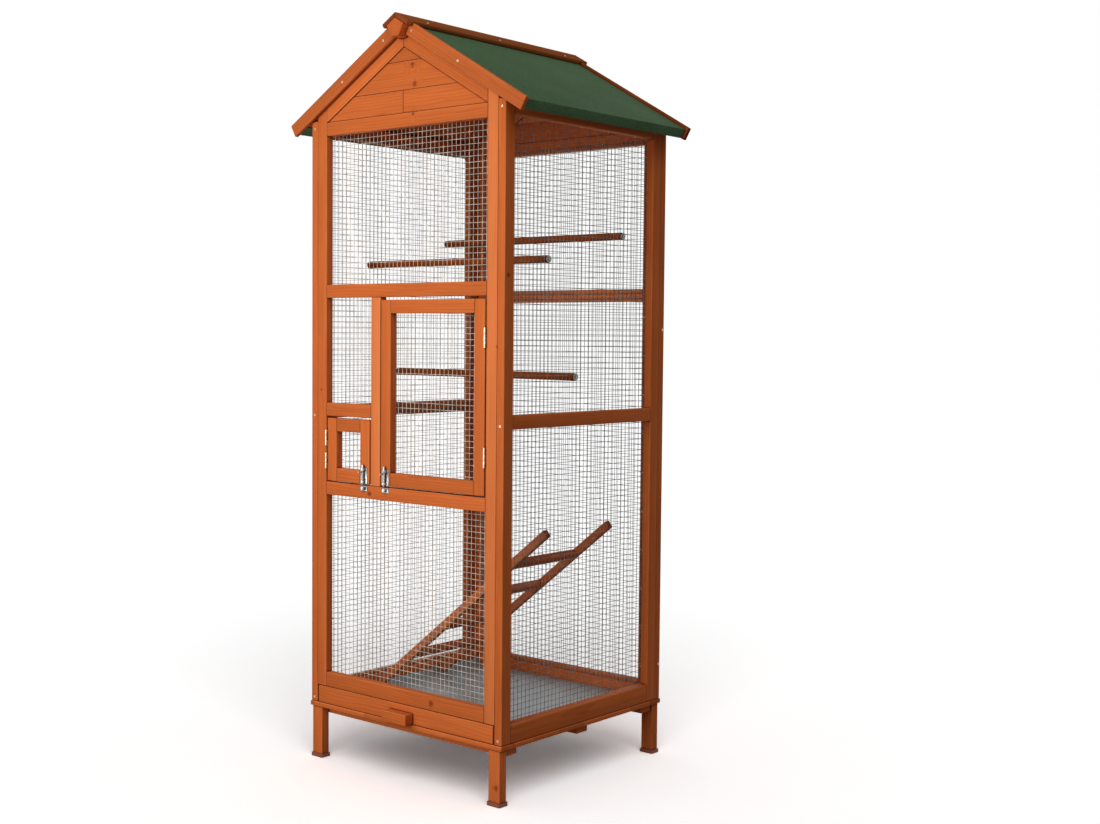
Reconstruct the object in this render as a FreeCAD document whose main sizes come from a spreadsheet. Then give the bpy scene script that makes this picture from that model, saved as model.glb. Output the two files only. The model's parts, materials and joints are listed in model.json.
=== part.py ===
import FreeCAD, Part
import math
import os
import Sketcher

# A free-standing wooden bird aviary, in millimetres.
# x runs across the front from left to right, y from the front to the rear, z upward.
# The origin is on the floor, in the middle of the body.

os.makedirs("parts", exist_ok=True)
document = FreeCAD.newDocument("Aviary")
sheet = document.addObject("Spreadsheet::Sheet", "Sizes")
nodes = []


class Size:
    """A length or an angle: its value, and the sheet expression that gives it."""

    def __init__(self, text, value):
        self.text = text
        self.value = value

    def __add__(self, other):
        other = as_size(other)
        return Size(f"({self.text} + {other.text})", self.value + other.value)

    def __sub__(self, other):
        other = as_size(other)
        return Size(f"({self.text} - {other.text})", self.value - other.value)

    def __mul__(self, factor):
        factor = as_size(factor)
        return Size(f"({self.text} * {factor.text})", self.value * factor.value)

    def __truediv__(self, divisor):
        divisor = as_size(divisor)
        return Size(f"({self.text} / {divisor.text})", self.value / divisor.value)

    def __neg__(self):
        return Size(f"(0 - {self.text})", -self.value)


def as_size(number):
    if isinstance(number, Size):
        return number
    return Size(f"({number})", number)


def size(alias, value):
    """Writes one size to the sheet and returns it."""
    cell = f"A{len(sheet.getUsedCells()) + 1}"
    sheet.set(cell, str(value))
    sheet.setAlias(cell, alias)
    return Size(f"Sizes.{alias}", value)


def sine(angle):
    return Size(f"sin({angle.text})", math.sin(math.radians(angle.value)))


def cosine(angle):
    return Size(f"cos({angle.text})", math.cos(math.radians(angle.value)))


def tangent(angle):
    return Size(f"tan({angle.text})", math.tan(math.radians(angle.value)))


# Sizes of the body and of the planed strips it is made from
body_width = size("body_width", 596)
body_depth = size("body_depth", 562)
strip_width = size("strip_width", 30)
strip_thickness = size("strip_thickness", 20)

# Sizes of the stand
stand_height = size("stand_height", 119)
leg_width = size("leg_width", 32)
leg_depth = size("leg_depth", 22)
leg_inset = size("leg_inset", 4)
cap_floor = size("cap_floor", 4)
cap_height = size("cap_height", 8)
cap_wall = size("cap_wall", 2.8)
cap_corner = size("cap_corner", 2.5)
cap_fit = size("cap_fit", 0.1)
slat_width = size("slat_width", 38)
slat_thickness = size("slat_thickness", 17)
slat_inset = size("slat_inset", 9)
base_board_width = size("base_board_width", 40)
base_board_thickness = size("base_board_thickness", 11)
base_overhang = size("base_overhang", 2)

# Sizes of the panels
side_bottom_rail_width = size("side_bottom_rail_width", 40)
side_lower_window = size("side_lower_window", 621)
rear_stile_width = size("rear_stile_width", 50)
tray_opening = size("tray_opening", 41)
front_bottom_rail_width = size("front_bottom_rail_width", 33)
front_lower_window = size("front_lower_window", 413.5)
door_opening = size("door_opening", 421.5)
front_upper_window = size("front_upper_window", 337)
small_opening_width = size("small_opening_width", 148)
small_opening_height = size("small_opening_height", 151.5)

# Sizes of the gables and the roof
roof_pitch = size("roof_pitch", 30)
roof_board_thickness = size("roof_board_thickness", 18)
roof_board_end = size("roof_board_end", 403)
felt_thickness = size("felt_thickness", 2)
felt_hem = size("felt_hem", 27)
beam_face = size("beam_face", 30)
beam_depth = size("beam_depth", 29)
ridge_overhang = size("ridge_overhang", 27)
ridge_cap_width = size("ridge_cap_width", 40)
ridge_cap_thickness = size("ridge_cap_thickness", 10)
ridge_cap_gap = size("ridge_cap_gap", 0.5)
barge_thickness = size("barge_thickness", 10)
barge_rise = size("barge_rise", 7)
barge_end = size("barge_end", 413)
gable_board_recess = size("gable_board_recess", 3)
gable_board_thickness = size("gable_board_thickness", 12)
gable_first_row = size("gable_first_row", 50)
gable_second_row = size("gable_second_row", 62)
gable_butt_joint = size("gable_butt_joint", -4)

# Sizes of the mesh, drawn with one wire in eight and the wires that carry the perches and the ladder
mesh_cell = size("mesh_cell", 12.7)
cells_in_gap = size("cells_in_gap", 8)
mesh_thickness = size("mesh_thickness", 1.6)
mesh_bar = size("mesh_bar", 2)
mesh_lap = size("mesh_lap", 9.5)

# Sizes of the doors, their hinges and their bolts
hinge_gap = size("hinge_gap", 4)
big_latch_gap = size("big_latch_gap", 2)
small_latch_gap = size("small_latch_gap", 5)
door_bottom_gap = size("door_bottom_gap", 2.5)
big_top_gap = size("big_top_gap", 6)
small_top_gap = size("small_top_gap", 4.5)
big_hinge_length = size("big_hinge_length", 42.5)
big_hinge_inset = size("big_hinge_inset", 60)
small_hinge_length = size("small_hinge_length", 36)
small_hinge_inset = size("small_hinge_inset", 28)
leaf_thickness = size("leaf_thickness", 1.2)
leaf_depth = size("leaf_depth", 17)
leaf_set_back = size("leaf_set_back", 0.2)
knuckle_radius = size("knuckle_radius", 2.1)
knuckle_stand_off = size("knuckle_stand_off", 2.7)
knuckle_gap = size("knuckle_gap", 0.3)
pin_radius = size("pin_radius", 1.25)
pin_fit = size("pin_fit", 0.05)
latch_width = size("latch_width", 21)
latch_height = size("latch_height", 36)
latch_plate = size("latch_plate", 1.2)
latch_lift = size("latch_lift", 1.5)
latch_inset = size("latch_inset", 16)
strap_radius = size("strap_radius", 4.6)
strap_length = size("strap_length", 6)
strap_inset = size("strap_inset", 1.5)
strap_sink = size("strap_sink", 0.8)
bolt_radius = size("bolt_radius", 2.6)
bolt_fit = size("bolt_fit", 0.05)
bolt_length = size("bolt_length", 44)
knob_radius = size("knob_radius", 2)
knob_length = size("knob_length", 12)
knob_gap = size("knob_gap", 0.4)
keeper_height = size("keeper_height", 11)
keeper_drop = size("keeper_drop", 1.5)

# Sizes of the tray
tray_clearance = size("tray_clearance", 0.3)
tray_top_gap = size("tray_top_gap", 0.7)
tray_side_gap = size("tray_side_gap", 4)
tray_rear_gap = size("tray_rear_gap", 8)
tray_front_thickness = size("tray_front_thickness", 18)
tray_side_thickness = size("tray_side_thickness", 12.5)
tray_side_height = size("tray_side_height", 36)
tray_batten_width = size("tray_batten_width", 30)
tray_batten_thickness = size("tray_batten_thickness", 5)
pan_thickness = size("pan_thickness", 1)
pan_lip = size("pan_lip", 14)
pull_length = size("pull_length", 76)
pull_height = size("pull_height", 24)
pull_depth = size("pull_depth", 24)
pull_lift = size("pull_lift", 1)

# Sizes of the perches and the ladder
perch_radius = size("perch_radius", 8.5)
middle_perch_rise = size("middle_perch_rise", 76)
front_perch_cells = size("front_perch_cells", 20)
rear_perch_cells = size("rear_perch_cells", 25)
perch_wire_offset = size("perch_wire_offset", 5.5)
front_perch_place = size("front_perch_place", -118)
middle_perch_place = size("middle_perch_place", -22.5)
rear_perch_place = size("rear_perch_place", 144)
washer_radius = size("washer_radius", 8)
washer_thickness = size("washer_thickness", 1.5)
screw_radius = size("screw_radius", 1.75)
screw_head_radius = size("screw_head_radius", 4)
screw_head_height = size("screw_head_height", 2.4)
screw_length = size("screw_length", 25)
wire_fit = size("wire_fit", 0.3)
ladder_pitch = size("ladder_pitch", 38.3)
ladder_rail_width = size("ladder_rail_width", 18)
ladder_rail_thickness = size("ladder_rail_thickness", 15)
ladder_foot_inset = size("ladder_foot_inset", 49)
ladder_centre = size("ladder_centre", 4)
rung_length = size("rung_length", 205)
rung_side = size("rung_side", 18)
rung_spacing = size("rung_spacing", 132.5)
first_rung = size("first_rung", 127.5)
ladder_clearance = size("ladder_clearance", 0.3)

# Planes of the body
half_width = body_width / 2
half_depth = body_depth / 2
inner_side = half_width - strip_thickness
front_face = -half_depth
front_inner = front_face + strip_thickness
rear_face = half_depth
rear_inner = rear_face - strip_thickness
stile_inner = inner_side - strip_width
mesh_pitch = mesh_cell * cells_in_gap
mesh_side = inner_side - mesh_thickness

# Heights of the front panel, from the bottom up
panel_bottom = stand_height + base_board_thickness
front_bottom = panel_bottom + tray_opening
front_sill = front_bottom + front_bottom_rail_width
lower_rail_bottom = front_sill + front_lower_window
door_sill = lower_rail_bottom + strip_width
upper_rail_bottom = door_sill + door_opening
upper_rail_top = upper_rail_bottom + strip_width
gable_rail_bottom = upper_rail_top + front_upper_window
gable_rail_top = gable_rail_bottom + strip_width

# Heights of the roof: the rafters meet the upper corners of the gable rails
slope_rise = tangent(roof_pitch)
slope_sine = sine(roof_pitch)
slope_cosine = cosine(roof_pitch)
roof_thickness = roof_board_thickness + felt_thickness
gable_peak = gable_rail_top + stile_inner * slope_rise
underside_peak = gable_peak + strip_width / slope_cosine
felt_peak = underside_peak + roof_thickness / slope_cosine
side_top = underside_peak - half_width * slope_rise

# Heights of the side panels' windows
side_sill = panel_bottom + side_bottom_rail_width
side_middle_bottom = side_sill + side_lower_window
side_middle_top = side_middle_bottom + strip_width
side_window_top = side_top - strip_width


def box(name, x, y, z):
    """A square-cut piece between two values on each axis."""
    piece = document.addObject("Part::Box", name)
    for axis, length, ends in (("x", "Length", x), ("y", "Width", y), ("z", "Height", z)):
        low, high = sorted(map(as_size, ends), key=lambda end: end.value)
        piece.setExpression(length, (high - low).text)
        piece.setExpression(f"Placement.Base.{axis}", low.text)
    return piece


def rod(name, radius, length, base, turn=None):
    """A round rod along z from its base, or along the axis that z is turned to."""
    piece = document.addObject("Part::Cylinder", name)
    if turn:
        piece.Placement = FreeCAD.Placement(FreeCAD.Vector(), turn)
    piece.setExpression("Radius", radius.text)
    piece.setExpression("Height", length.text)
    for axis, value in zip("xyz", base):
        piece.setExpression(f"Placement.Base.{axis}", as_size(value).text)
    return piece


def outline(body, plane_role, points):
    """A closed sketch through the points, each held by two bound distances."""
    plane = next(item for item in body.Origin.OriginFeatures if item.Role == plane_role)
    sketch = body.newObject("Sketcher::SketchObject", f"{body.Name}_outline")
    sketch.AttachmentSupport = [(plane, "")]
    sketch.MapMode = "FlatFace"
    corners = [(as_size(across), as_size(up)) for across, up in points]
    vectors = [FreeCAD.Vector(across.value, up.value, 0) for across, up in corners]
    for start, end in zip(vectors, vectors[1:] + vectors[:1]):
        sketch.addGeometry(Part.LineSegment(start, end))
    for index in range(len(corners)):
        following = (index + 1) % len(corners)
        sketch.addConstraint(Sketcher.Constraint("Coincident", index, 2, following, 1))
    for index, corner in enumerate(corners):
        for kind, place in zip(("DistanceX", "DistanceY"), corner):
            constraint = Sketcher.Constraint(kind, -1, 1, index, 1, place.value)
            number = sketch.addConstraint(constraint)
            sketch.setExpression(f"Constraints[{number}]", place.text)
    return sketch


def prism(name, points, y):
    """A piece with an outline of (x, z) points, between two values of y."""
    body = document.addObject("PartDesign::Body", name)
    pad = body.newObject("PartDesign::Pad", f"{name}_pad")
    pad.Profile = outline(body, "XZ_Plane", points)
    pad.Reversed = True
    low, high = map(as_size, y)
    pad.setExpression("Length", (high - low).text)
    body.setExpression("Placement.Base.y", low.text)
    body.Tip = pad
    return body


def fuse(name, pieces):
    whole = document.addObject("Part::MultiFuse", name)
    whole.Shapes = pieces
    return whole


def cut(name, piece, tool):
    rest = document.addObject("Part::Cut", name)
    rest.Base = piece
    rest.Tool = tool
    return rest


def group(name, pieces):
    whole = document.addObject("Part::Compound", name)
    whole.Links = pieces
    return whole


def node(label, *pieces):
    """Names a finished sub-part: one piece, or a group of separate ones."""
    part = pieces[0]
    if len(pieces) > 1:
        part = group(label, list(pieces))
    part.Label = label
    nodes.append(part)
    return part


def both_sides(function):
    return [function(-1), function(1)]


# Stand

def leg_places():
    """The inner and outer faces of each leg, as x and y ranges."""
    outer = half_width - leg_inset
    for side in (-1, 1):
        x = (outer * side, (outer - leg_width) * side)
        yield x, (front_face, front_face + leg_depth)
        yield x, (rear_face - leg_depth, rear_face)


def foot_cap(number, x, y):
    """A plastic cap with cut-off corners, hollowed for the leg's end."""
    left, right = sorted(x, key=lambda end: end.value)
    margin = cap_wall + cap_fit
    body = document.addObject("PartDesign::Body", f"cap_block_{number}")
    pad = body.newObject("PartDesign::Pad", f"cap_pad_{number}")
    corners = [
        (left - margin, y[0] - margin),
        (right + margin, y[0] - margin),
        (right + margin, y[1] + margin),
        (left - margin, y[1] + margin),
    ]
    pad.Profile = outline(body, "XY_Plane", corners)
    pad.setExpression("Length", cap_height.text)
    body.Tip = pad
    document.recompute()
    upright = []
    for index, edge in enumerate(pad.Shape.Edges):
        if edge.BoundBox.ZLength > cap_height.value / 2:
            upright.append(f"Edge{index + 1}")
    corner_cut = body.newObject("PartDesign::Chamfer", f"cap_corners_{number}")
    corner_cut.Base = (pad, upright)
    corner_cut.setExpression("Size", cap_corner.text)
    body.Tip = corner_cut
    recess = box(
        f"cap_recess_{number}",
        (left - cap_fit, right + cap_fit),
        (y[0] - cap_fit, y[1] + cap_fit),
        (cap_floor, cap_height),
    )
    return cut(f"cap_{number}", body, recess)


def make_stand():
    legs = []
    caps = []
    for number, (x, y) in enumerate(leg_places()):
        legs.append(box(f"leg_{number}", x, y, (cap_floor, stand_height)))
        caps.append(foot_cap(number, x, y))
    node("legs", *legs)
    node("foot_caps", *caps)

    level = (stand_height, panel_bottom)
    outer_x = half_width + base_overhang
    outer_y = half_depth + base_overhang
    inner_x = outer_x - base_board_width
    inner_y = outer_y - base_board_width
    across = both_sides(
        lambda side: box("base_across", (-outer_x, outer_x), (outer_y * side, inner_y * side), level)
    )
    along = both_sides(
        lambda side: box("base_along", (outer_x * side, inner_x * side), (-inner_y, inner_y), level)
    )
    node("base_boards", *across, *along)

    slat_end = half_width - slat_inset
    slat_level = (stand_height - slat_thickness, stand_height)
    behind_legs = half_depth - leg_depth
    starts = (-behind_legs, -slat_width / 2, behind_legs - slat_width)
    slats = [
        box("floor_slat", (-slat_end, slat_end), (start, start + slat_width), slat_level) for start in starts
    ]
    node("floor_slats", *slats)


# Places of the perches, in y and z, and of the ladder's rails from its middle. The perches'
# heights differ by whole cells of the mesh, because their screws go between its wires.
middle_perch_height = side_middle_top + middle_perch_rise
perch_places = (
    (front_perch_place, middle_perch_height + mesh_cell * front_perch_cells),
    (middle_perch_place, middle_perch_height),
    (rear_perch_place, middle_perch_height + mesh_cell * rear_perch_cells),
)
ladder_rail_place = (rung_length + ladder_rail_thickness) / 2


# Nets of welded wire

def rectangle(corner, across, up, ends_across, ends_up):
    """A closed wire in the plane of two directions."""
    points = []
    for a, b in ((0, 0), (1, 0), (1, 1), (0, 1), (0, 0)):
        points.append(corner + across * ends_across[a] + up * ends_up[b])
    return Part.makePolygon(points)


def gaps_between_bars(ends, wanted):
    """The clear gaps of a net between its ends, with the wanted bars and one at each pitch from the first."""
    low, high = ends
    pitch = mesh_pitch.value
    bar = mesh_bar.value
    centres = [low + bar / 2, high - bar / 2]
    steps = range(-math.floor((wanted[0] - low) / pitch), math.ceil((high - wanted[0]) / pitch))
    regular = [wanted[0] + pitch * step for step in steps]
    for places, least in ((wanted, bar * 2), (regular, pitch / 3)):
        for place in places:
            if all(abs(place - centre) > least for centre in centres):
                centres.append(place)
    centres.sort()
    return [(start + bar / 2, end - bar / 2) for start, end in zip(centres, centres[1:])]


def net(label, across, corner, ends_across, ends_up, wanted_across, wanted_up):
    """A flat holed sheet that stands upright, its thickness square to the direction across."""
    up = FreeCAD.Vector(0, 0, 1)
    wires = [rectangle(corner, across, up, ends_across, ends_up)]
    for gap_across in gaps_between_bars(ends_across, wanted_across):
        for gap_up in gaps_between_bars(ends_up, wanted_up):
            wires.append(rectangle(corner, across, up, gap_across, gap_up))
    face = Part.makeFace(wires, "Part::FaceMakerBullseye")
    normal = FreeCAD.Vector(across.y, across.x, 0)
    piece = document.addObject("Part::Feature", label)
    piece.Shape = face.extrude(normal * mesh_thickness.value)
    return piece


def lapped(low, high):
    return (low.value - mesh_lap.value, high.value + mesh_lap.value)


def net_across(label, low_x, high_x, low_z, high_z, y):
    """A net over a window of the front or the rear, lapped on the frame round it."""
    ends_x = lapped(low_x, high_x)
    ends_z = lapped(low_z, high_z)
    pitch = mesh_pitch.value
    corner = FreeCAD.Vector(0, y.value, 0)
    wanted_x = [ends_x[0] + pitch]
    wanted_z = [ends_z[0] + pitch]
    return net(label, FreeCAD.Vector(1, 0, 0), corner, ends_x, ends_z, wanted_x, wanted_z)


# Left and right side panels

def side_net(label, side, front_edge, rear_edge):
    """The net of a side panel, with a wire by each perch and behind each rail of the ladder."""
    low_x = min(inner_side.value * side, mesh_side.value * side)
    ladder_rail = ladder_rail_place.value
    piece = net(
        label,
        FreeCAD.Vector(0, 1, 0),
        FreeCAD.Vector(low_x, 0, 0),
        lapped(front_edge, rear_edge),
        lapped(side_sill, side_window_top),
        [ladder_centre.value - ladder_rail, ladder_centre.value + ladder_rail],
        [place_z.value + perch_wire_offset.value for place_y, place_z in perch_places],
    )
    shape = piece.Shape
    radius = screw_radius.value + wire_fit.value
    for place_y, place_z in perch_places:
        start = FreeCAD.Vector(low_x, place_y.value, place_z.value)
        shape = shape.cut(Part.makeCylinder(radius, mesh_thickness.value, start, FreeCAD.Vector(1, 0, 0)))
    piece.Shape = shape
    return piece


def make_side_panel(name, side):
    x = (inner_side * side, half_width * side)
    rear_end = rear_inner
    front_edge = front_face + strip_width
    rear_edge = rear_end - strip_width
    height = (panel_bottom, side_top)
    front_stile = box(f"{name}_front_stile", x, (front_face, front_edge), height)
    rear_stile = box(f"{name}_rear_stile", x, (rear_edge, rear_end), height)
    node(f"{name}_side_stiles", front_stile, rear_stile)

    levels = (
        (panel_bottom, side_sill),
        (side_middle_bottom, side_middle_top),
        (side_window_top, side_top),
    )
    rails = [box(f"{name}_side_rail", x, (front_edge, rear_edge), level) for level in levels]
    node(f"{name}_side_rails", *rails)
    node(f"{name}_side_mesh", side_net(f"{name}_net", side, front_edge, rear_edge))


# Gables and roof. A roof point is given by its distance down the slope from the
# ridge and by its height square to the felt's upper face.

def underside(x):
    """Height of the roof boards' underside at a distance from the middle."""
    return underside_peak - x * slope_rise


def roof_point(side, down, above):
    x = down * slope_cosine + above * slope_sine
    z = felt_peak - down * slope_sine + above * slope_cosine
    return (x * side, z)


def rafter(name, side, y):
    """A rafter between the stile and the ridge beam, notched under the beam."""
    beam_corner = roof_point(side, beam_face, -beam_depth)
    points = [
        (0, gable_peak),
        (stile_inner * side, gable_rail_top),
        (stile_inner * side, underside(stile_inner)),
        roof_point(side, beam_face, -roof_thickness),
        beam_corner,
        (0, beam_corner[1]),
    ]
    return prism(name, points, y)


def gable_board(name, left, right, bottom, top, y):
    """One row of the gable's boarding; None stands for the slope of a rafter."""
    def edge(side, place, height):
        if place is not None:
            return (place, height)
        return ((gable_peak - height) / slope_rise * side, height)

    corners = [
        edge(-1, left, bottom),
        edge(1, right, bottom),
        edge(1, right, top),
        edge(-1, left, top),
    ]
    if top is gable_peak:
        corners = corners[:3]
    return prism(name, corners, y)


def make_gable(name, y, board_y, joints):
    """The rafters of one gable and the rows of boards below them."""
    rafters = both_sides(lambda side: rafter(f"{name}_rafter", side, y))
    node(f"{name}_rafters", *rafters)
    first_top = gable_rail_top + gable_first_row
    second_top = first_top + gable_second_row
    ends = [None, *joints, None]
    boards = [
        gable_board(f"{name}_board", left, right, gable_rail_top, first_top, board_y)
        for left, right in zip(ends, ends[1:])
    ]
    boards.append(gable_board(f"{name}_board", None, None, first_top, second_top, board_y))
    boards.append(gable_board(f"{name}_board", None, None, second_top, gable_peak, board_y))
    node(f"{name}_gable_boards", *boards)


def stile(name, side, outer_x, inner_x, bottom, y):
    """An upright whose top is bevelled to fit under the roof."""
    points = [
        (inner_x * side, bottom),
        (outer_x * side, bottom),
        (outer_x * side, underside(outer_x)),
        (inner_x * side, underside(inner_x)),
    ]
    return prism(name, points, y)


def make_roof():
    front_end = front_face - ridge_overhang
    rear_end = rear_face + ridge_overhang
    length = (front_end, rear_end)
    shoulder = (beam_face, as_size(0))
    foot = (beam_face, -beam_depth)
    beam = [
        (0, felt_peak),
        roof_point(1, *shoulder),
        roof_point(1, *foot),
        roof_point(-1, *foot),
        roof_point(-1, *shoulder),
    ]
    node("ridge_beam", prism("beam", beam, length))

    def section(name, side, places, y):
        return prism(name, [roof_point(side, as_size(down), as_size(above)) for down, above in places], y)

    board_places = [
        (beam_face, -roof_thickness),
        (roof_board_end, -roof_thickness),
        (roof_board_end, -felt_thickness),
        (beam_face, -felt_thickness),
    ]
    felt_end = roof_board_end + felt_thickness
    hem_start = roof_board_end - felt_hem
    hem_bottom = -roof_thickness - felt_thickness
    felt_places = [
        (beam_face, -felt_thickness),
        (roof_board_end, -felt_thickness),
        (roof_board_end, -roof_thickness),
        (hem_start, -roof_thickness),
        (hem_start, hem_bottom),
        (felt_end, hem_bottom),
        (felt_end, 0),
        (beam_face, 0),
    ]
    barge_notch = ridge_cap_width + ridge_cap_gap
    barge_drop = barge_rise - strip_width
    barge_places = [
        (beam_face, barge_drop),
        (barge_end, barge_drop),
        (barge_end, barge_rise),
        (barge_notch, barge_rise),
        (barge_notch, 0),
        (beam_face, 0),
    ]
    body = (front_face, rear_face)
    front = (front_face - barge_thickness, front_face)
    rear = (rear_face, rear_face + barge_thickness)
    node("roof_boards", *both_sides(lambda side: section("roof_board", side, board_places, body)))
    node("roof_felt", *both_sides(lambda side: section("felt", side, felt_places, body)))
    node("front_barge_boards", *both_sides(lambda side: section("front_barge", side, barge_places, front)))
    node("rear_barge_boards", *both_sides(lambda side: section("rear_barge", side, barge_places, rear)))

    def cap_board(side):
        points = [
            (0, felt_peak),
            roof_point(side, ridge_cap_width, as_size(0)),
            roof_point(side, ridge_cap_width, ridge_cap_thickness),
            (0, felt_peak + ridge_cap_thickness / slope_cosine),
        ]
        return prism("ridge_cap_board", points, length)

    node("ridge_cap", *both_sides(cap_board))


# Front and rear panels

mullion_left = small_opening_width - stile_inner
mullion_right = mullion_left + strip_width
short_rail_bottom = door_sill + small_opening_height
short_rail_top = short_rail_bottom + strip_width


def make_front_panel():
    y = (front_face, front_inner)
    stiles = both_sides(lambda side: stile("front_stile", side, inner_side, stile_inner, front_bottom, y))
    node("front_stiles", *stiles)
    between = (-stile_inner, stile_inner)
    node("front_bottom_rail", box("bottom_rail", between, y, (front_bottom, front_sill)))
    node("front_lower_rail", box("lower_rail", between, y, (lower_rail_bottom, door_sill)))
    node("front_upper_rail", box("upper_rail", between, y, (upper_rail_bottom, upper_rail_top)))
    node("front_gable_rail", box("gable_rail", between, y, (gable_rail_bottom, gable_rail_top)))
    node("front_mullion", box("mullion", (mullion_left, mullion_right), y, (door_sill, upper_rail_bottom)))
    short_x = (-stile_inner, mullion_left)
    node("front_short_rail", box("short_rail", short_x, y, (short_rail_bottom, short_rail_top)))

    left, right = between
    node("front_mesh_lower", net_across("net_lower", left, right, front_sill, lower_rail_bottom, front_inner))
    node("front_mesh_upper", net_across("net_upper", left, right, upper_rail_top, gable_rail_bottom, front_inner))
    middle_net = net_across("net_middle", left, mullion_left, short_rail_top, upper_rail_bottom, front_inner)
    node("front_mesh_middle", middle_net)
    board_front = front_face + gable_board_recess
    board_y = (board_front, board_front + gable_board_thickness)
    make_gable("front", y, board_y, [gable_butt_joint])


def make_rear_panel():
    y = (rear_inner, rear_face)
    inner_x = half_width - rear_stile_width
    stiles = both_sides(lambda side: stile("rear_stile", side, half_width, inner_x, panel_bottom, y))
    node("rear_stiles", *stiles)
    between = (-inner_x, inner_x)
    levels = (
        (panel_bottom, side_sill),
        (upper_rail_bottom, upper_rail_top),
        (gable_rail_bottom, gable_rail_top),
    )
    node("rear_rails", *[box("rear_rail", between, y, level) for level in levels])
    net_y = rear_inner - mesh_thickness
    node("rear_mesh", net_across("net_rear", *between, side_sill, gable_rail_bottom, net_y))
    board_rear = rear_face - gable_board_recess
    make_gable("rear", y, (board_rear - gable_board_thickness, board_rear), [])


# Doors

def make_door(name, x, z):
    """The frame of a door and its net, from the places of its outer edges."""
    left, right = x
    bottom, top = z
    y = (front_face, front_inner)
    window_left = left + strip_width
    window_right = right - strip_width
    window_bottom = bottom + strip_width
    window_top = top - strip_width
    stiles = [
        box(f"{name}_stile", (left, window_left), y, z),
        box(f"{name}_stile", (window_right, right), y, z),
    ]
    node(f"{name}_stiles", *stiles)
    rails = [
        box(f"{name}_rail", (window_left, window_right), y, (bottom, window_bottom)),
        box(f"{name}_rail", (window_left, window_right), y, (window_top, top)),
    ]
    node(f"{name}_rails", *rails)
    window = (window_left, window_right, window_bottom, window_top)
    node(f"{name}_mesh", net_across(f"{name}_net", *window, front_inner))


def hinge_leaf(name, face_x, into_gap, axis_x, axis_y, z, bands):
    """A leaf on the face at face_x, with a bored knuckle in each band of its length."""
    x = (face_x, face_x + leaf_thickness * into_gap)
    plate_front = front_face + leaf_set_back
    pieces = [box(f"{name}_plate", x, (plate_front, plate_front + leaf_depth), z)]
    for low, high in bands:
        pieces.append(box(f"{name}_web", x, (axis_y, plate_front), (low, high)))
        pieces.append(rod(f"{name}_knuckle", knuckle_radius, high - low, (axis_x, axis_y, low)))
    bore = rod(f"{name}_bore", pin_radius + pin_fit, z[1] - z[0], (axis_x, axis_y, z[0]))
    return cut(f"{name}_bored", fuse(name, pieces), bore)


def make_hinges(name, side, z_door, length, inset):
    """Two butt hinges in the gap beside a door whose frame stile is on the given side."""
    stile_face = stile_inner * side
    door_face = (stile_inner - hinge_gap) * side
    axis_x = (stile_inner - hinge_gap / 2) * side
    axis_y = front_face - knuckle_stand_off
    frame_leaves = []
    door_leaves = []
    pins = []
    bottoms = (z_door[0] + inset, z_door[1] - inset - length)
    for number, bottom in enumerate(bottoms):
        top = bottom + length
        lower_joint = bottom + length / 3
        upper_joint = top - length / 3
        gap = knuckle_gap / 2
        outer_bands = [(bottom, lower_joint - gap), (upper_joint + gap, top)]
        inner_band = [(lower_joint + gap, upper_joint - gap)]
        ends = (bottom, top)
        suffix = f"{name}_{number}"
        axis = (axis_x, axis_y)
        frame_leaves.append(hinge_leaf(f"frame_leaf_{suffix}", stile_face, -side, *axis, ends, outer_bands))
        door_leaves.append(hinge_leaf(f"door_leaf_{suffix}", door_face, side, *axis, ends, inner_band))
        pins.append(rod(f"pin_{suffix}", pin_radius, length, (*axis, bottom)))
    node(f"{name}_hinge_leaves", *door_leaves)
    return frame_leaves, pins


toward_front = FreeCAD.Rotation(FreeCAD.Vector(1, 0, 0), 90)


def strapped_plate(name, centre_x, z, strap_bottoms, length):
    """A plate on the front face with bored straps for a bolt."""
    half = latch_width / 2
    plate_y = (front_face - latch_plate, front_face)
    bolt_y = front_face - latch_plate - strap_radius + strap_sink
    pieces = [box(f"{name}_backing", (centre_x - half, centre_x + half), plate_y, z)]
    for bottom in strap_bottoms:
        pieces.append(rod(f"{name}_strap", strap_radius, length, (centre_x, bolt_y, bottom)))
    bore = rod(f"{name}_bore", bolt_radius + bolt_fit, z[1] - z[0], (centre_x, bolt_y, z[0]))
    return cut(f"{name}_bored", fuse(name, pieces), bore)


def make_bolt(name, centre_x, door_bottom):
    """A barrel bolt on a door's lower corner, drawn clear of its keeper on the rail below."""
    bottom = door_bottom + latch_lift
    top = bottom + latch_height
    lower_strap = bottom + strap_inset
    upper_strap = top - strap_inset - strap_length
    plate = strapped_plate(
        f"{name}_latch", centre_x, (bottom, top), (lower_strap, upper_strap), strap_length
    )
    node(f"{name}_latch_plate", plate)

    bolt_y = front_face - latch_plate - strap_radius + strap_sink
    knob_z = upper_strap - knob_radius - knob_gap
    shaft = rod(f"{name}_shaft", bolt_radius, bolt_length, (centre_x, bolt_y, door_bottom))
    knob = rod(f"{name}_knob", knob_radius, knob_length, (centre_x, bolt_y, knob_z), toward_front)
    node(f"{name}_bolt", fuse(f"{name}_rod", [shaft, knob]))

    keeper_top = door_sill - keeper_drop
    keeper_bottom = keeper_top - keeper_height
    strap_bottom = keeper_bottom + strap_inset
    strap_height = keeper_height - strap_inset * 2
    return strapped_plate(
        f"{name}_keeper", centre_x, (keeper_bottom, keeper_top), [strap_bottom], strap_height
    )


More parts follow.
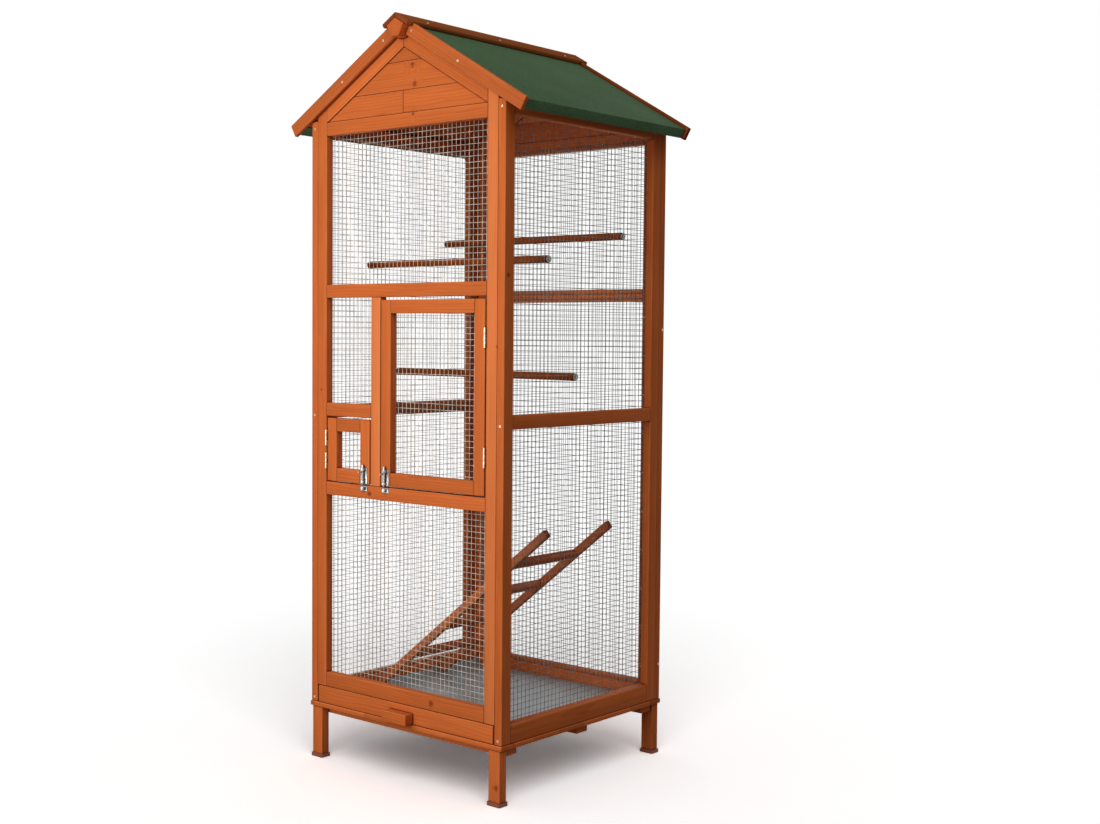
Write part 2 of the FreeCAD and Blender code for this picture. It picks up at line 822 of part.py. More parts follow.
def make_doors():
    bottom = door_sill + door_bottom_gap
    big_x = (mullion_right + big_latch_gap, stile_inner - hinge_gap)
    big_z = (bottom, upper_rail_bottom - big_top_gap)
    small_x = (hinge_gap - stile_inner, mullion_left - small_latch_gap)
    small_z = (bottom, short_rail_bottom - small_top_gap)
    make_door("big_door", big_x, big_z)
    make_door("small_door", small_x, small_z)
    big_leaves, big_pins = make_hinges("big_door", 1, big_z, big_hinge_length, big_hinge_inset)
    small_leaves, small_pins = make_hinges("small_door", -1, small_z, small_hinge_length, small_hinge_inset)
    node("hinge_frame_leaves", *big_leaves, *small_leaves)
    node("hinge_pins", *big_pins, *small_pins)
    big_keeper = make_bolt("big_door", big_x[0] + latch_inset, bottom)
    small_keeper = make_bolt("small_door", small_x[1] - latch_inset, bottom)
    node("latch_keepers", big_keeper, small_keeper)


# Tray

tray_bottom = panel_bottom + tray_clearance
pan_bottom = tray_bottom + tray_batten_thickness
pan_top = pan_bottom + pan_thickness


def make_tray():
    half = inner_side - tray_side_gap
    front_back = front_face + tray_front_thickness
    rear_end = rear_inner - tray_rear_gap
    front_level = (tray_bottom, front_bottom - tray_top_gap)
    node("tray_front", box("tray_board", (-half, half), (front_face, front_back), front_level))
    pull_bottom = tray_bottom + pull_lift
    pull_y = (front_face - pull_depth, front_face)
    pull_x = (-pull_length / 2, pull_length / 2)
    node("tray_pull", box("pull", pull_x, pull_y, (pull_bottom, pull_bottom + pull_height)))

    inner = half - tray_side_thickness
    side_level = (tray_bottom, tray_bottom + tray_side_height)
    sides = both_sides(
        lambda side: box("tray_side", (half * side, inner * side), (front_back, rear_end), side_level)
    )
    node("tray_sides", *sides)
    middle = (front_back + rear_end) / 2
    starts = (front_back, middle - tray_batten_width / 2, rear_end - tray_batten_width)
    battens = [
        box("tray_batten", (-inner, inner), (start, start + tray_batten_width), (tray_bottom, pan_bottom))
        for start in starts
    ]
    node("tray_battens", *battens)

    lip_top = pan_bottom + pan_lip
    wall = inner - pan_thickness
    channel = [
        (-inner, pan_bottom),
        (inner, pan_bottom),
        (inner, lip_top),
        (wall, lip_top),
        (wall, pan_top),
        (-wall, pan_top),
        (-wall, lip_top),
        (-inner, lip_top),
    ]
    floor = prism("pan_channel", channel, (front_back, rear_end))
    front_lip = box("pan_front_lip", (-inner, inner), (front_back, front_back + pan_thickness), (pan_bottom, lip_top))
    node("tray_pan", fuse("pan", [floor, front_lip]))


# Perches and ladder

along_x = FreeCAD.Rotation(FreeCAD.Vector(0, 1, 0), 90)


def perch_screw(name, side, y, z):
    """A washer-headed screw, driven through the mesh into a perch's end."""
    washer_face = inner_side + washer_thickness

    def turned(piece, radius, near, far):
        low, high = sorted((near * side, far * side), key=lambda end: end.value)
        return rod(f"{name}_{piece}", radius, high - low, (low, y, z), along_x)

    shank = turned("shank", screw_radius, washer_face - screw_length, washer_face)
    washer = turned("washer", washer_radius, inner_side, washer_face)
    head = turned("head", screw_head_radius, washer_face, washer_face + screw_head_height)
    return fuse(name, [shank, washer, head])


def make_perches():
    perches = []
    screws = []
    for number, (y, z) in enumerate(perch_places):
        perches.append(rod(f"perch_{number}", perch_radius, mesh_side * 2, (-mesh_side, y, z), along_x))
        screws.extend(both_sides(lambda side: perch_screw(f"perch_{number}_screw", side, y, z)))
    node("perches", *perches)
    node("perch_screws", *screws)


def make_ladder():
    """A ladder that leans on the right-hand mesh, with its feet just over the pan."""
    foot_x = ladder_foot_inset - half_width
    foot_z = pan_top + ladder_clearance
    run = cosine(ladder_pitch)
    climb = sine(ladder_pitch)
    length = (mesh_side - foot_x) / run

    def bar(name, start, end, low, high, y):
        """A bar between two distances along the ladder and two above its lower edge."""
        places = ((start, low), (end, low), (end, high), (start, high))
        points = []
        for along, above in places:
            along = as_size(along)
            above = as_size(above)
            points.append((foot_x + along * run - above * climb, foot_z + along * climb + above * run))
        return prism(name, points, y)

    inner = rung_length / 2
    half = ladder_rail_thickness / 2

    def rail(side):
        middle = ladder_centre + ladder_rail_place * side
        return bar("ladder_rail", 0, length, 0, ladder_rail_width, (middle - half, middle + half))

    rails = both_sides(rail)
    node("ladder_rails", *rails)
    rung_low = (ladder_rail_width - rung_side) / 2
    rungs = []
    for number in range(4):
        top = length - first_rung + rung_side / 2 - rung_spacing * number
        y = (ladder_centre - inner, ladder_centre + inner)
        rungs.append(bar("ladder_rung", top - rung_side, top, rung_low, rung_low + rung_side, y))
    node("ladder_rungs", *rungs)


def write_parts():
    """Checks every object of the document and writes each sub-part to its own file."""
    for item in document.Objects:
        if "Invalid" in item.State or "Error" in item.State:
            raise RuntimeError(f"{item.Label} has not been built")
    for part in nodes:
        if part.Shape.isNull() or not part.Shape.isValid():
            raise RuntimeError(f"{part.Label} has no valid shape")
        part.Shape.exportStep(f"parts/{part.Label}.step")


make_stand()
make_side_panel("left", -1)
make_side_panel("right", 1)
make_front_panel()
make_rear_panel()
make_roof()
make_doors()
make_tray()
make_perches()
make_ladder()
document.recompute()
write_parts()
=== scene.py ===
import json
import math
import random

import bpy
from bpy.props import FloatProperty, FloatVectorProperty, IntProperty, PointerProperty
from mathutils import Matrix, Vector


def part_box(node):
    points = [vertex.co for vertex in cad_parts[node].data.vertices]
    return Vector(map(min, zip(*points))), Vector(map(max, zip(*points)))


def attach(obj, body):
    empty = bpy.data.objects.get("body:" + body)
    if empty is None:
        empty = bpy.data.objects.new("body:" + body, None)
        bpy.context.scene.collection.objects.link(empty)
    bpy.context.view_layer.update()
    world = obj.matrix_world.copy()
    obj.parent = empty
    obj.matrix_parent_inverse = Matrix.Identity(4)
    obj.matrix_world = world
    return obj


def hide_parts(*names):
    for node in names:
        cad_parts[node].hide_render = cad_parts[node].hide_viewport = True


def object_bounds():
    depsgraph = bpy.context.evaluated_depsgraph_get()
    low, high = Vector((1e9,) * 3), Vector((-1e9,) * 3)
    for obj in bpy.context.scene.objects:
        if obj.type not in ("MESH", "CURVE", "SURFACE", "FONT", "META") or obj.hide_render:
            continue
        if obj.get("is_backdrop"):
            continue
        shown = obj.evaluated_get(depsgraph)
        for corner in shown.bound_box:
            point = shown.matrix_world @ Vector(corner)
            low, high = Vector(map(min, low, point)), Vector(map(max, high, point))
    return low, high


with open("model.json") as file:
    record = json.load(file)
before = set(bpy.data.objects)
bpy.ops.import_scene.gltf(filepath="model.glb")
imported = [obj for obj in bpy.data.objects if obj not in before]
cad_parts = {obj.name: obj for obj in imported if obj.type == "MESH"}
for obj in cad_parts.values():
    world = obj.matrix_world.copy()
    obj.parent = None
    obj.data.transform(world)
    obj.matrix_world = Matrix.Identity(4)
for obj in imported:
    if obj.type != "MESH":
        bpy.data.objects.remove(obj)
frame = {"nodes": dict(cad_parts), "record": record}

bl_info = {
    "name": "Wooden bird aviary",
    "version": (1, 0, 0),
    "blender": (4, 5, 0),
    "location": "View3D > Sidebar > Aviary",
    "description": "Dresses the solids of a wooden bird aviary with eased wood, wire mesh and fittings",
    "category": "Object",
}

cad_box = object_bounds()
body_of = {}
for body_name, body_nodes in frame["record"]["behaviour"]["bodies"].items():
    for body_node in body_nodes:
        body_of[body_node] = body_name
slot_of = {row["node"]: row["material_slot"] for row in frame["record"]["subparts"]}


# Settings

def from_screen(red, green, blue):
    """A colour read from a screen, 0 to 255, as the linear values that shaders use."""
    def linear(value):
        part = value / 255
        if part <= 0.04045:
            return part / 12.92
        return ((part + 0.055) / 1.055) ** 2.4

    return (linear(red), linear(green), linear(blue))


def length(name, description, default):
    return FloatProperty(
        name=name, description=description, default=default, min=0, precision=5, unit="LENGTH"
    )


def colour(name, description, default):
    return FloatVectorProperty(
        name=name, description=description, default=default, size=3, min=0, max=1, subtype="COLOR"
    )


def share(name, description, default):
    return FloatProperty(name=name, description=description, default=default, min=0, max=1, subtype="FACTOR")


def angle(name, description, default):
    return FloatProperty(name=name, description=description, default=math.radians(default), subtype="ANGLE")


def amount(name, description, default):
    return FloatProperty(name=name, description=description, default=default, min=0)


def power(name, description, default):
    return FloatProperty(name=name, description=description, default=default, min=0, unit="POWER")


class WoodSettings(bpy.types.PropertyGroup):
    """The planed and stained strips"""

    ease: length("Eased edge", "Rounding along the edges of the strips", 0.0020)
    board_ease: length("Board edge", "Rounding along the edges of the gable boards", 0.0022)
    ring: length("Ring", "Distance between two year rings", 0.0045)
    joint: length("Jointed length", "Length of the pieces in finger-jointed boards", 0.085)
    knots: share("Knots", "Share of the places along a strip that have a knot", 0.05)
    # With this seed some strips, such as the front panel's right stile, come out paler, which partly paints
    # the light on them
    seed: IntProperty(name="Seed", description="Picks the tone and the grain of each strip", default=214165)
    # Darker tone: painted shade on the ridge cap and the rear barge boards, and on the perches partly a
    # deeper stain and partly painted shade
    dipped: share("Dipped tone", "Tone of the perches, the ridge cap and the rear barge boards", 0.55)
    # The ladder's darker tone is partly its stain and partly painted shade inside the cage
    ladder: share("Ladder tone", "Tone of the ladder beside the frame", 0.72)
    barge: share("Barge tone", "Tone of the front barge boards beside the frame", 0.85)
    # Painted shade: how far from a joint or a corner the wood is darkened by occlusion
    joint_shade_reach: length("Crevice", "How far from a joint the stain is darker", 0.005)
    stain: colour("Stain", "Main colour of the stained wood", from_screen(198, 101, 46))
    late_wood: colour("Late wood", "Darker lines of the grain", from_screen(160, 70, 30))
    # Along the edges the worn colour is partly thin stain and partly a painted highlight
    worn: colour("Worn edge", "Paler wood where the stain is thin", from_screen(224, 138, 84))
    # The heart colour is also the painted shade at joints and in corners
    heart: colour("Knot heart", "Dark wood in knots, at joints and on sawn ends", from_screen(104, 40, 16))


class WireSettings(bpy.types.PropertyGroup):
    """The welded mesh and its staples"""

    cell: length("Cell", "Distance between two wires", 0.0127)
    thickness: length("Wire", "Diameter of a wire", 0.0011)
    waviness: length("Waviness", "How far the wires stray from straight", 0.0012)
    # One zinc in two copies: the front and door colours are the lit copy, the side and rear colours a darker
    # copy with painted shade
    bright: colour("Bright", "Fresh zinc on the front and the doors", from_screen(220, 206, 189))
    dull: colour("Dull", "Dulled zinc on the front and the doors", from_screen(164, 154, 144))
    weathered: colour("Weathered", "Weathered zinc on the side and rear walls", from_screen(108, 103, 97))
    stained: colour("Stained", "Stained zinc on the side and rear walls", from_screen(70, 67, 63))
    staple_spacing: length("Staple spacing", "Distance between two staples", 0.09)
    staple_width: length("Staple width", "Width of a staple's crown", 0.010)


class FittingSettings(bpy.types.PropertyGroup):
    """The metal and plastic fittings"""

    ease: length("Eased edge", "Rounding along the edges of the fittings", 0.00025)
    zinc: colour("Zinc", "Bright plated steel", from_screen(186, 185, 181))
    zinc_dull: colour("Dull zinc", "Handled plating", from_screen(122, 120, 115))
    tarnish: colour("Tarnish", "Darkened plating on the perches' screws", from_screen(104, 100, 95))
    hinge: colour("Hinge", "Yellow plating on the hinges and the screws", from_screen(234, 215, 190))
    hinge_dull: colour("Dull hinge", "Worn plating on the hinges and the screws", from_screen(184, 162, 136))
    # Painted shade on the plating: how far from a corner it reaches, and its colour
    plating_shade_reach: length("Recess", "How far from a corner the plating is grimy", 0.006)
    plating_shade: colour("Grime", "Dark film in the corners of the plating", from_screen(44, 40, 36))
    pan: colour("Pan", "Galvanised sheet of the tray", from_screen(146, 152, 154))
    spangle: length("Spangle", "Size of the crystals on the galvanised sheet", 0.012)
    plastic: colour("Plastic", "Foot caps", from_screen(118, 62, 36))
    screw_radius: length("Screw head", "Radius of a frame screw's head", 0.0026)


class RoofSettings(bpy.types.PropertyGroup):
    """The felt on the roof"""

    felt: colour("Felt", "Main colour of the felt", from_screen(84, 111, 78))
    granule_dark: colour("Dark granules", "Darker mineral granules", from_screen(62, 86, 60))
    granule_pale: colour("Pale granules", "Paler mineral granules", from_screen(109, 137, 104))
    granule: length("Granule", "Size of the mineral granules", 0.0012)


class StageSettings(bpy.types.PropertyGroup):
    """The camera, the light and the floor"""

    camera_place: FloatVectorProperty(
        name="Camera place", description="Where the camera stands", default=(2.32485, -2.55024, 0.98758),
        size=3, subtype="TRANSLATION", unit="LENGTH"
    )
    yaw: angle("Yaw", "How far the camera stands round to the right", 39.973)
    pitch: angle("Pitch", "How far the camera looks up", -2.9635)
    roll: angle("Roll", "How far the camera leans", 0.5195)
    lens: FloatProperty(
        name="Lens", description="Focal length in millimetres", default=48.386, min=1, unit="CAMERA"
    )
    key: amount("Key light", "Strength of the key light", 0.68)
    near: power("Near light", "Power of the tall lamp before the front", 30)
    rear: power("Rear light", "Power of the tall lamp behind the rear", 12)
    fill: share("Fill light", "Strength of the even light from all round", 0.22)
    floor_tone: share("Floor", "Tone of the floor where it throws light back on the object", 0.4)
    floor_gain: amount("Floor gain", "Tone of the floor as it is seen", 2.74)


SETTINGS = {
    "aviary_wood": WoodSettings,
    "aviary_wire": WireSettings,
    "aviary_fittings": FittingSettings,
    "aviary_roof": RoofSettings,
    "aviary_stage": StageSettings,
}


# Materials

class Finish:
    """A material whose nodes are added one at a time and joined to its shader."""

    def __init__(self, name):
        self.material = bpy.data.materials.new(name)
        self.material.use_nodes = True
        self.tree = self.material.node_tree
        self.shader = self.tree.nodes["Principled BSDF"]

    def put(self, socket, value):
        """Joins another node's output to a socket, or sets a constant on it."""
        if isinstance(value, bpy.types.NodeSocket):
            self.tree.links.new(value, socket)
        elif socket.type == "RGBA":
            socket.default_value = (*value, 1)
        else:
            socket.default_value = value

    def set(self, **values):
        """Sets the shader's sockets, with underscores for the spaces in their names."""
        for name, value in values.items():
            self.put(self.shader.inputs[name.replace("_", " ")], value)

    def add(self, kind, output, inputs, **settings):
        """Adds a node with its settings and inputs, and gives one of its outputs."""
        node = self.tree.nodes.new(kind)
        for name, value in settings.items():
            setattr(node, name, value)
        for name, value in inputs.items():
            self.put(node.inputs[name], value)
        return node.outputs[output]

    def attribute(self, name, output="Vector"):
        return self.add("ShaderNodeAttribute", output, {}, attribute_name=name)

    def object_place(self):
        return self.add("ShaderNodeTexCoord", "Object", {})

    def math(self, operation, *values):
        return self.add("ShaderNodeMath", 0, dict(enumerate(values)), operation=operation)

    def vector(self, operation, *values):
        return self.add("ShaderNodeVectorMath", 0, dict(enumerate(values)), operation=operation)

    def measure(self, operation, *values):
        """A vector operation that gives a number."""
        return self.add("ShaderNodeVectorMath", "Value", dict(enumerate(values)), operation=operation)

    def scaled(self, vector, factor):
        return self.add("ShaderNodeVectorMath", 0, {0: vector, "Scale": factor}, operation="SCALE")

    def parts(self, vector):
        """The three numbers of a vector."""
        node = self.tree.nodes.new("ShaderNodeSeparateXYZ")
        self.put(node.inputs[0], vector)
        return node.outputs

    def noise(self, place, scale, detail=3, roughness=0.5):
        inputs = {"Vector": place, "Scale": scale, "Detail": detail, "Roughness": roughness}
        return self.add("ShaderNodeTexNoise", "Fac", inputs)

    def stretched_noise(self, place, scales, detail, roughness=0.5):
        """Noise with a scale of its own along each axis."""
        return self.noise(self.vector("MULTIPLY", place, scales), 1, detail, roughness)

    def openness(self, distance, samples):
        """One on an open face, and less the more is in the way within the distance."""
        return self.add("ShaderNodeAmbientOcclusion", "AO", {"Distance": distance}, samples=samples)

    def between(self, value, low, high, start=0, end=1):
        """Goes smoothly from start to end while the value goes from low to high."""
        inputs = {"Value": value, "From Min": low, "From Max": high, "To Min": start, "To Max": end}
        return self.add("ShaderNodeMapRange", "Result", inputs, interpolation_type="SMOOTHSTEP")

    def mix(self, factor, first, second):
        return self.add("ShaderNodeMix", 2, {0: factor, 6: first, 7: second}, data_type="RGBA")

    def brighten(self, colours, value):
        return self.add("ShaderNodeHueSaturation", "Color", {"Color": colours, "Value": value})

    def bump(self, height, strength, distance):
        inputs = {"Height": height, "Strength": strength, "Distance": distance}
        return self.add("ShaderNodeBump", "Normal", inputs)


# Stained wood

# Knots seen in the photo: node, axes across and out of its face, shares across and up its box, radius
KNOTS = (
    ("front_bottom_rail", 0, 1, 0.686, 0.50, 0.0085),
    ("front_lower_rail", 0, 1, 0.291, 0.42, 0.0070),
    ("legs", 0, 1, 0.982, 0.31, 0.0085),
    ("legs", 1, 0, 0.951, 0.41, 0.0060),
    ("front_stiles", 0, 1, 0.024, 0.517, 0.0036),
    ("front_gable_boards", 0, 1, 0.550, 0.713, 0.0075),
    ("front_gable_boards", 0, 1, 0.564, 0.421, 0.0080),
    ("front_gable_rail", 0, 1, 0.560, 0.85, 0.0045),
    ("right_side_stiles", 1, 0, 0.022, 0.731, 0.0060),
    ("right_side_stiles", 0, 1, 0.030, 0.621, 0.0035),
)
# Farthest distance to a seen knot that is told apart, in radii of the knot
FARTHEST_KNOT = 9.0
# Cells in a metre, each with one place where a scattered knot may be
KNOT_CELLS = 15
# How fast the scattered knots move sideways with the depth in the strip
KNOT_LEAN = 0.4

# Scales of the patterns along a strip, across it and through it
STREAKS = (7, 240, 240)
FIBRES = (30, 1400, 1400)
PATCHES = (5, 30, 30)
# Step in the log from one strip to another, so that no two are alike
LOG_STEP = (37, 17, 23)
# Direction from the heart of the log to a strip, and how slowly the rings change along the strip
LOG_HEART = (0.2, 0.05, 0.03)
LOG_STRETCH = (0.03, 1, 1)
# Added to a strip's number, 0 to 1, so that the heart of the log stays off the strip's middle
NEAR_HEART = 0.3
# Rings by which the patches and the knots bend the grain
PATCH_RINGS = 2.5
KNOT_RINGS = 2

# Tone of the darkest strip, and how much more the palest one has
DARKEST_STRIP = 0.86
STRIP_RANGE = 0.26
# Height of the late wood and of the fibres beside that of the streaks
LATE_WOOD_HEIGHT = 0.4
FIBRE_HEIGHT = 0.5

# How much of the darker or paler colour each pattern brings in at most
LATE_WOOD_MIX = 0.3
DARK_STREAK_MIX = 0.24
PALE_STREAK_MIX = 0.1
PALE_STRIP_MIX = 0.4
KNOT_MIX = 0.75
# Painted shade at joints and in corners: how much of the heart colour it brings in at most
JOINT_SHADE_MIX = 0.85


def knot_place(node, across_axis, face_axis, across, up):
    """A point on the front or the right face of a node."""
    low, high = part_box(node)
    place = low.lerp(high, up)
    place[across_axis] = low[across_axis] + (high[across_axis] - low[across_axis]) * across
    place[face_axis] = low.y if face_axis == 1 else high.x
    return place


class Timber(Finish):
    """Wood whose grain follows each strip, by the attributes that mark_strips gives its piece."""

    def __init__(self, name):
        super().__init__(name)
        self.wood = bpy.context.scene.aviary_wood
        self.place = self.attribute("place")
        self.strip = self.attribute("strip", "Fac")
        self.shift = self.scaled(LOG_STEP, self.strip)
        log = self.vector("ADD", self.place, self.shift)
        self.streaks = self.stretched_noise(log, STREAKS, detail=5, roughness=0.6)
        self.fibres = self.stretched_noise(log, FIBRES, detail=2)
        self.patches = self.stretched_noise(log, PATCHES, detail=2)

    def scattered_knots(self):
        """The distance to the nearest place for a knot, and one where that place has a knot."""
        along, across, deep = self.parts(self.place)
        row = self.math("ADD", across, self.math("MULTIPLY", deep, KNOT_LEAN))
        place = self.add("ShaderNodeCombineXYZ", 0, {0: along, 1: row})
        cells = {"Vector": self.vector("ADD", place, self.shift), "Scale": KNOT_CELLS}
        distance = self.add("ShaderNodeTexVoronoi", "Distance", cells, voronoi_dimensions="2D")
        chance = self.add("ShaderNodeTexVoronoi", "Color", cells, voronoi_dimensions="2D")
        return distance, self.math("LESS_THAN", chance, self.wood.knots)

    def seen_knots(self):
        """The distance to the nearest of the seen knots, in radii of that knot, frayed by the grain."""
        here = self.object_place()
        nearest = FARTHEST_KNOT
        for *row, radius in KNOTS:
            apart = self.measure("DISTANCE", here, knot_place(*row))
            nearest = self.math("MINIMUM", nearest, self.math("DIVIDE", apart, radius))
        return self.math("ADD", nearest, self.between(self.streaks, 0.25, 0.75, -0.45, 0.45))

    def knots(self):
        """How dark the knots are, and how far the grain swirls round them."""
        distance, there = self.scattered_knots()
        seen = self.seen_knots()
        knot = self.math("MULTIPLY", self.between(distance, 0.05, 0.11, 1, 0), there)
        knot = self.math("MAXIMUM", knot, self.between(seen, 0.3, 1.2, 1, 0))
        swirl = self.math("MULTIPLY", self.between(distance, 0.05, 0.4, 1, 0), there)
        swirl = self.math("MAXIMUM", swirl, self.between(seen, 0.6, 4, 1, 0))
        return knot, swirl

    def late_wood(self, swirl):
        """The dark part of the year rings round the heart of the log."""
        heart = self.scaled(LOG_HEART, self.math("ADD", self.strip, NEAR_HEART))
        from_heart = self.vector("ADD", self.place, heart)
        radius = self.measure("LENGTH", self.vector("MULTIPLY", from_heart, LOG_STRETCH))
        turns = self.math("DIVIDE", radius, self.wood.ring)
        turns = self.math("ADD", turns, self.math("MULTIPLY", self.patches, PATCH_RINGS))
        turns = self.math("ADD", turns, self.math("MULTIPLY", swirl, KNOT_RINGS))
        return self.between(self.math("FRACT", turns), 0.35, 0.97)

    def wear_and_highlight(self):
        """How pale the edges are, partly from thin stain and partly as a painted highlight, and the distance
        to the strip's nearer end.
        """
        inset = self.vector("SUBTRACT", self.attribute("half"), self.vector("ABSOLUTE", self.place))
        end_inset, first, second = self.parts(inset)
        edge = self.math("MAXIMUM", first, second)
        edge = self.math("ADD", edge, self.between(self.fibres, 0.3, 0.7, -0.0006, 0.0006))
        most = self.between(self.patches, 0.3, 0.6, 0.1, 0.45)
        worn = self.math("MULTIPLY", self.between(edge, 0.0004, 0.0024, 1, 0), most)
        return worn, end_inset

    def tone(self, jointed):
        """How bright the strip is and, in a jointed one, each piece along it."""
        tone = self.math("ADD", self.math("MULTIPLY", self.strip, STRIP_RANGE), DARKEST_STRIP)
        tone = self.math("ADD", tone, self.between(self.patches, 0.3, 0.7, -0.05, 0.05))
        if jointed:
            along = self.math("ADD", self.parts(self.place)[0], self.strip)
            number = self.math("FLOOR", self.math("DIVIDE", along, self.wood.joint))
            chance = self.add("ShaderNodeTexWhiteNoise", "Value", {"W": number}, noise_dimensions="1D")
            tone = self.math("ADD", tone, self.between(chance, 0, 1, -0.14, 0.12))
        return tone

    def stain(self, late_wood, worn):
        """The stain, with the grain in it, and paler along the edges, partly worn thin and partly as a
        painted highlight.
        """
        wood = self.wood
        colours = self.mix(self.math("MULTIPLY", late_wood, LATE_WOOD_MIX), wood.stain, wood.late_wood)
        dark_streaks = self.between(self.streaks, 0.45, 0.75, 0, DARK_STREAK_MIX)
        colours = self.mix(dark_streaks, colours, wood.late_wood)
        pale_streaks = self.between(self.streaks, 0.45, 0.25, 0, PALE_STREAK_MIX)
        colours = self.mix(pale_streaks, colours, wood.worn)
        pale_strips = self.between(self.strip, 0.65, 1, 0, PALE_STRIP_MIX)
        colours = self.mix(pale_strips, colours, wood.worn)
        # Paler edges: partly thin stain, partly a painted highlight
        return self.mix(worn, colours, wood.worn)

    def relief(self, late_wood):
        """The height of the grain."""
        ridges = self.math("MULTIPLY", late_wood, LATE_WOOD_HEIGHT)
        height = self.math("ADD", ridges, self.math("MULTIPLY", self.fibres, FIBRE_HEIGHT))
        return self.math("ADD", height, self.streaks)


def stained_wood(name="stained_softwood", jointed=False, depth=1.0, gloss=0.08, ends=0.2):
    """Stained softwood, with dark knots and sawn ends, and painted shade at joints and in corners."""
    if name in bpy.data.materials:
        return bpy.data.materials[name]
    timber = Timber(name)
    wood = timber.wood
    knot, swirl = timber.knots()
    late_wood = timber.late_wood(swirl)
    worn, end_inset = timber.wear_and_highlight()
    openness_for_shade = timber.openness(wood.joint_shade_reach, samples=6)

    colours = timber.stain(late_wood, worn)
    colours = timber.brighten(colours, timber.math("MULTIPLY", timber.tone(jointed), depth))
    colours = timber.mix(timber.math("MULTIPLY", knot, KNOT_MIX), colours, wood.heart)
    # Painted shade: the wood darkens towards the heart colour where occlusion is high, at joints and in
    # corners
    colours = timber.mix(timber.between(openness_for_shade, 0.5, 0.97, JOINT_SHADE_MIX, 0), colours, wood.heart)
    colours = timber.mix(timber.between(end_inset, 0.0004, 0.0014, ends, 0), colours, wood.heart)
    timber.set(
        Base_Color=colours,
        Roughness=timber.between(timber.streaks, 0.3, 0.7, 0.58, 0.74),
        Normal=timber.bump(timber.relief(late_wood), strength=0.3, distance=0.0005),
        Specular_IOR_Level=gloss,
    )
    return timber.material


def dipped_and_shaded_wood():
    """The darker tone of the perches, the ridge cap and the rear barge boards: painted shade on the ridge cap
    and the rear barge boards, and on the perches partly a deeper stain and partly painted shade.
    """
    depth = bpy.context.scene.aviary_wood.dipped
    return stained_wood("dipped_softwood", depth=depth, gloss=0.0, ends=0.6)


# Metal, felt and plastic

def galvanised_wire(name, bright, dull):
    """Thin galvanised wire with bright and dull stretches."""
    if name in bpy.data.materials:
        return bpy.data.materials[name]
    finish = Finish(name)
    place = finish.object_place()
    dullness = finish.noise(place, scale=60)
    grain = finish.noise(place, scale=1500)
    finish.set(
        Base_Color=finish.mix(finish.between(dullness, 0.35, 0.65), bright, dull),
        Roughness=finish.between(dullness, 0.3, 0.7, 0.38, 0.6),
        Normal=finish.bump(grain, strength=0.2, distance=0.0001),
        Metallic=0.1,
    )
    return finish.material


def bright_wire():
    """The wire of the front and the doors, and the staples."""
    wire = bpy.context.scene.aviary_wire
    return galvanised_wire("bright_wire", wire.bright, wire.dull)


def weathered_wire():
    """The wire of the side and rear walls: the same zinc as the front, painted darker as shade."""
    wire = bpy.context.scene.aviary_wire
    return galvanised_wire("weathered_wire", wire.weathered, wire.stained)


def plating(name, bright, dull):
    """Plated steel, a little dulled where it is handled, with painted shade in its corners."""
    if name in bpy.data.materials:
        return bpy.data.materials[name]
    fittings = bpy.context.scene.aviary_fittings
    finish = Finish(name)
    place = finish.object_place()
    dullness = finish.noise(place, scale=220, detail=4, roughness=0.6)
    brushing = finish.stretched_noise(place, (2200, 2200, 90), detail=2)
    openness_for_shade = finish.openness(fittings.plating_shade_reach, samples=8)
    colours = finish.mix(finish.between(dullness, 0.4, 0.7, 0, 0.8), bright, dull)
    finish.set(
        # Painted shade: the plating darkens where occlusion is high, in its corners
        Base_Color=finish.mix(finish.between(openness_for_shade, 0.3, 0.85, 0.9, 0), colours, fittings.plating_shade),
        Roughness=finish.between(dullness, 0.3, 0.7, 0.22, 0.42),
        Normal=finish.bump(brushing, strength=0.15, distance=0.0001),
        Metallic=1.0,
    )
    return finish.material


def zinc_plate():
    """The plating of the bolts and their keepers."""
    fittings = bpy.context.scene.aviary_fittings
    return plating("zinc_plate", fittings.zinc, fittings.zinc_dull)


def tarnished_plate():
    """The plating of the perches' screws."""
    fittings = bpy.context.scene.aviary_fittings
    return plating("tarnished_plate", fittings.zinc_dull, fittings.tarnish)


def yellow_plate():
    """The plating of the hinges and the small screws."""
    fittings = bpy.context.scene.aviary_fittings
    return plating("yellow_plate", fittings.hinge, fittings.hinge_dull)


def galvanised_sheet():
    """Galvanised sheet with its crystals, rubbed by cleaning."""
    fittings = bpy.context.scene.aviary_fittings
    finish = Finish("galvanised_sheet")
    place = finish.object_place()
    crystals = {"Vector": place, "Scale": 1 / fittings.spangle}
    crystal = finish.parts(finish.add("ShaderNodeTexVoronoi", "Color", crystals))[0]
    stains = finish.noise(place, scale=9, detail=5, roughness=0.6)
    rubbing = finish.stretched_noise(place, (40, 900, 900), detail=3)
    tone = finish.between(crystal, 0, 1, 0.9, 1.08)
    tone = finish.math("ADD", tone, finish.between(stains, 0.3, 0.7, -0.06, 0.06))
    finish.set(
        Base_Color=finish.brighten(fittings.pan, tone),
        Roughness=finish.between(crystal, 0, 1, 0.38, 0.55),
        Normal=finish.bump(rubbing, strength=0.12, distance=0.0002),
        Metallic=0.3,
    )
    return finish.material


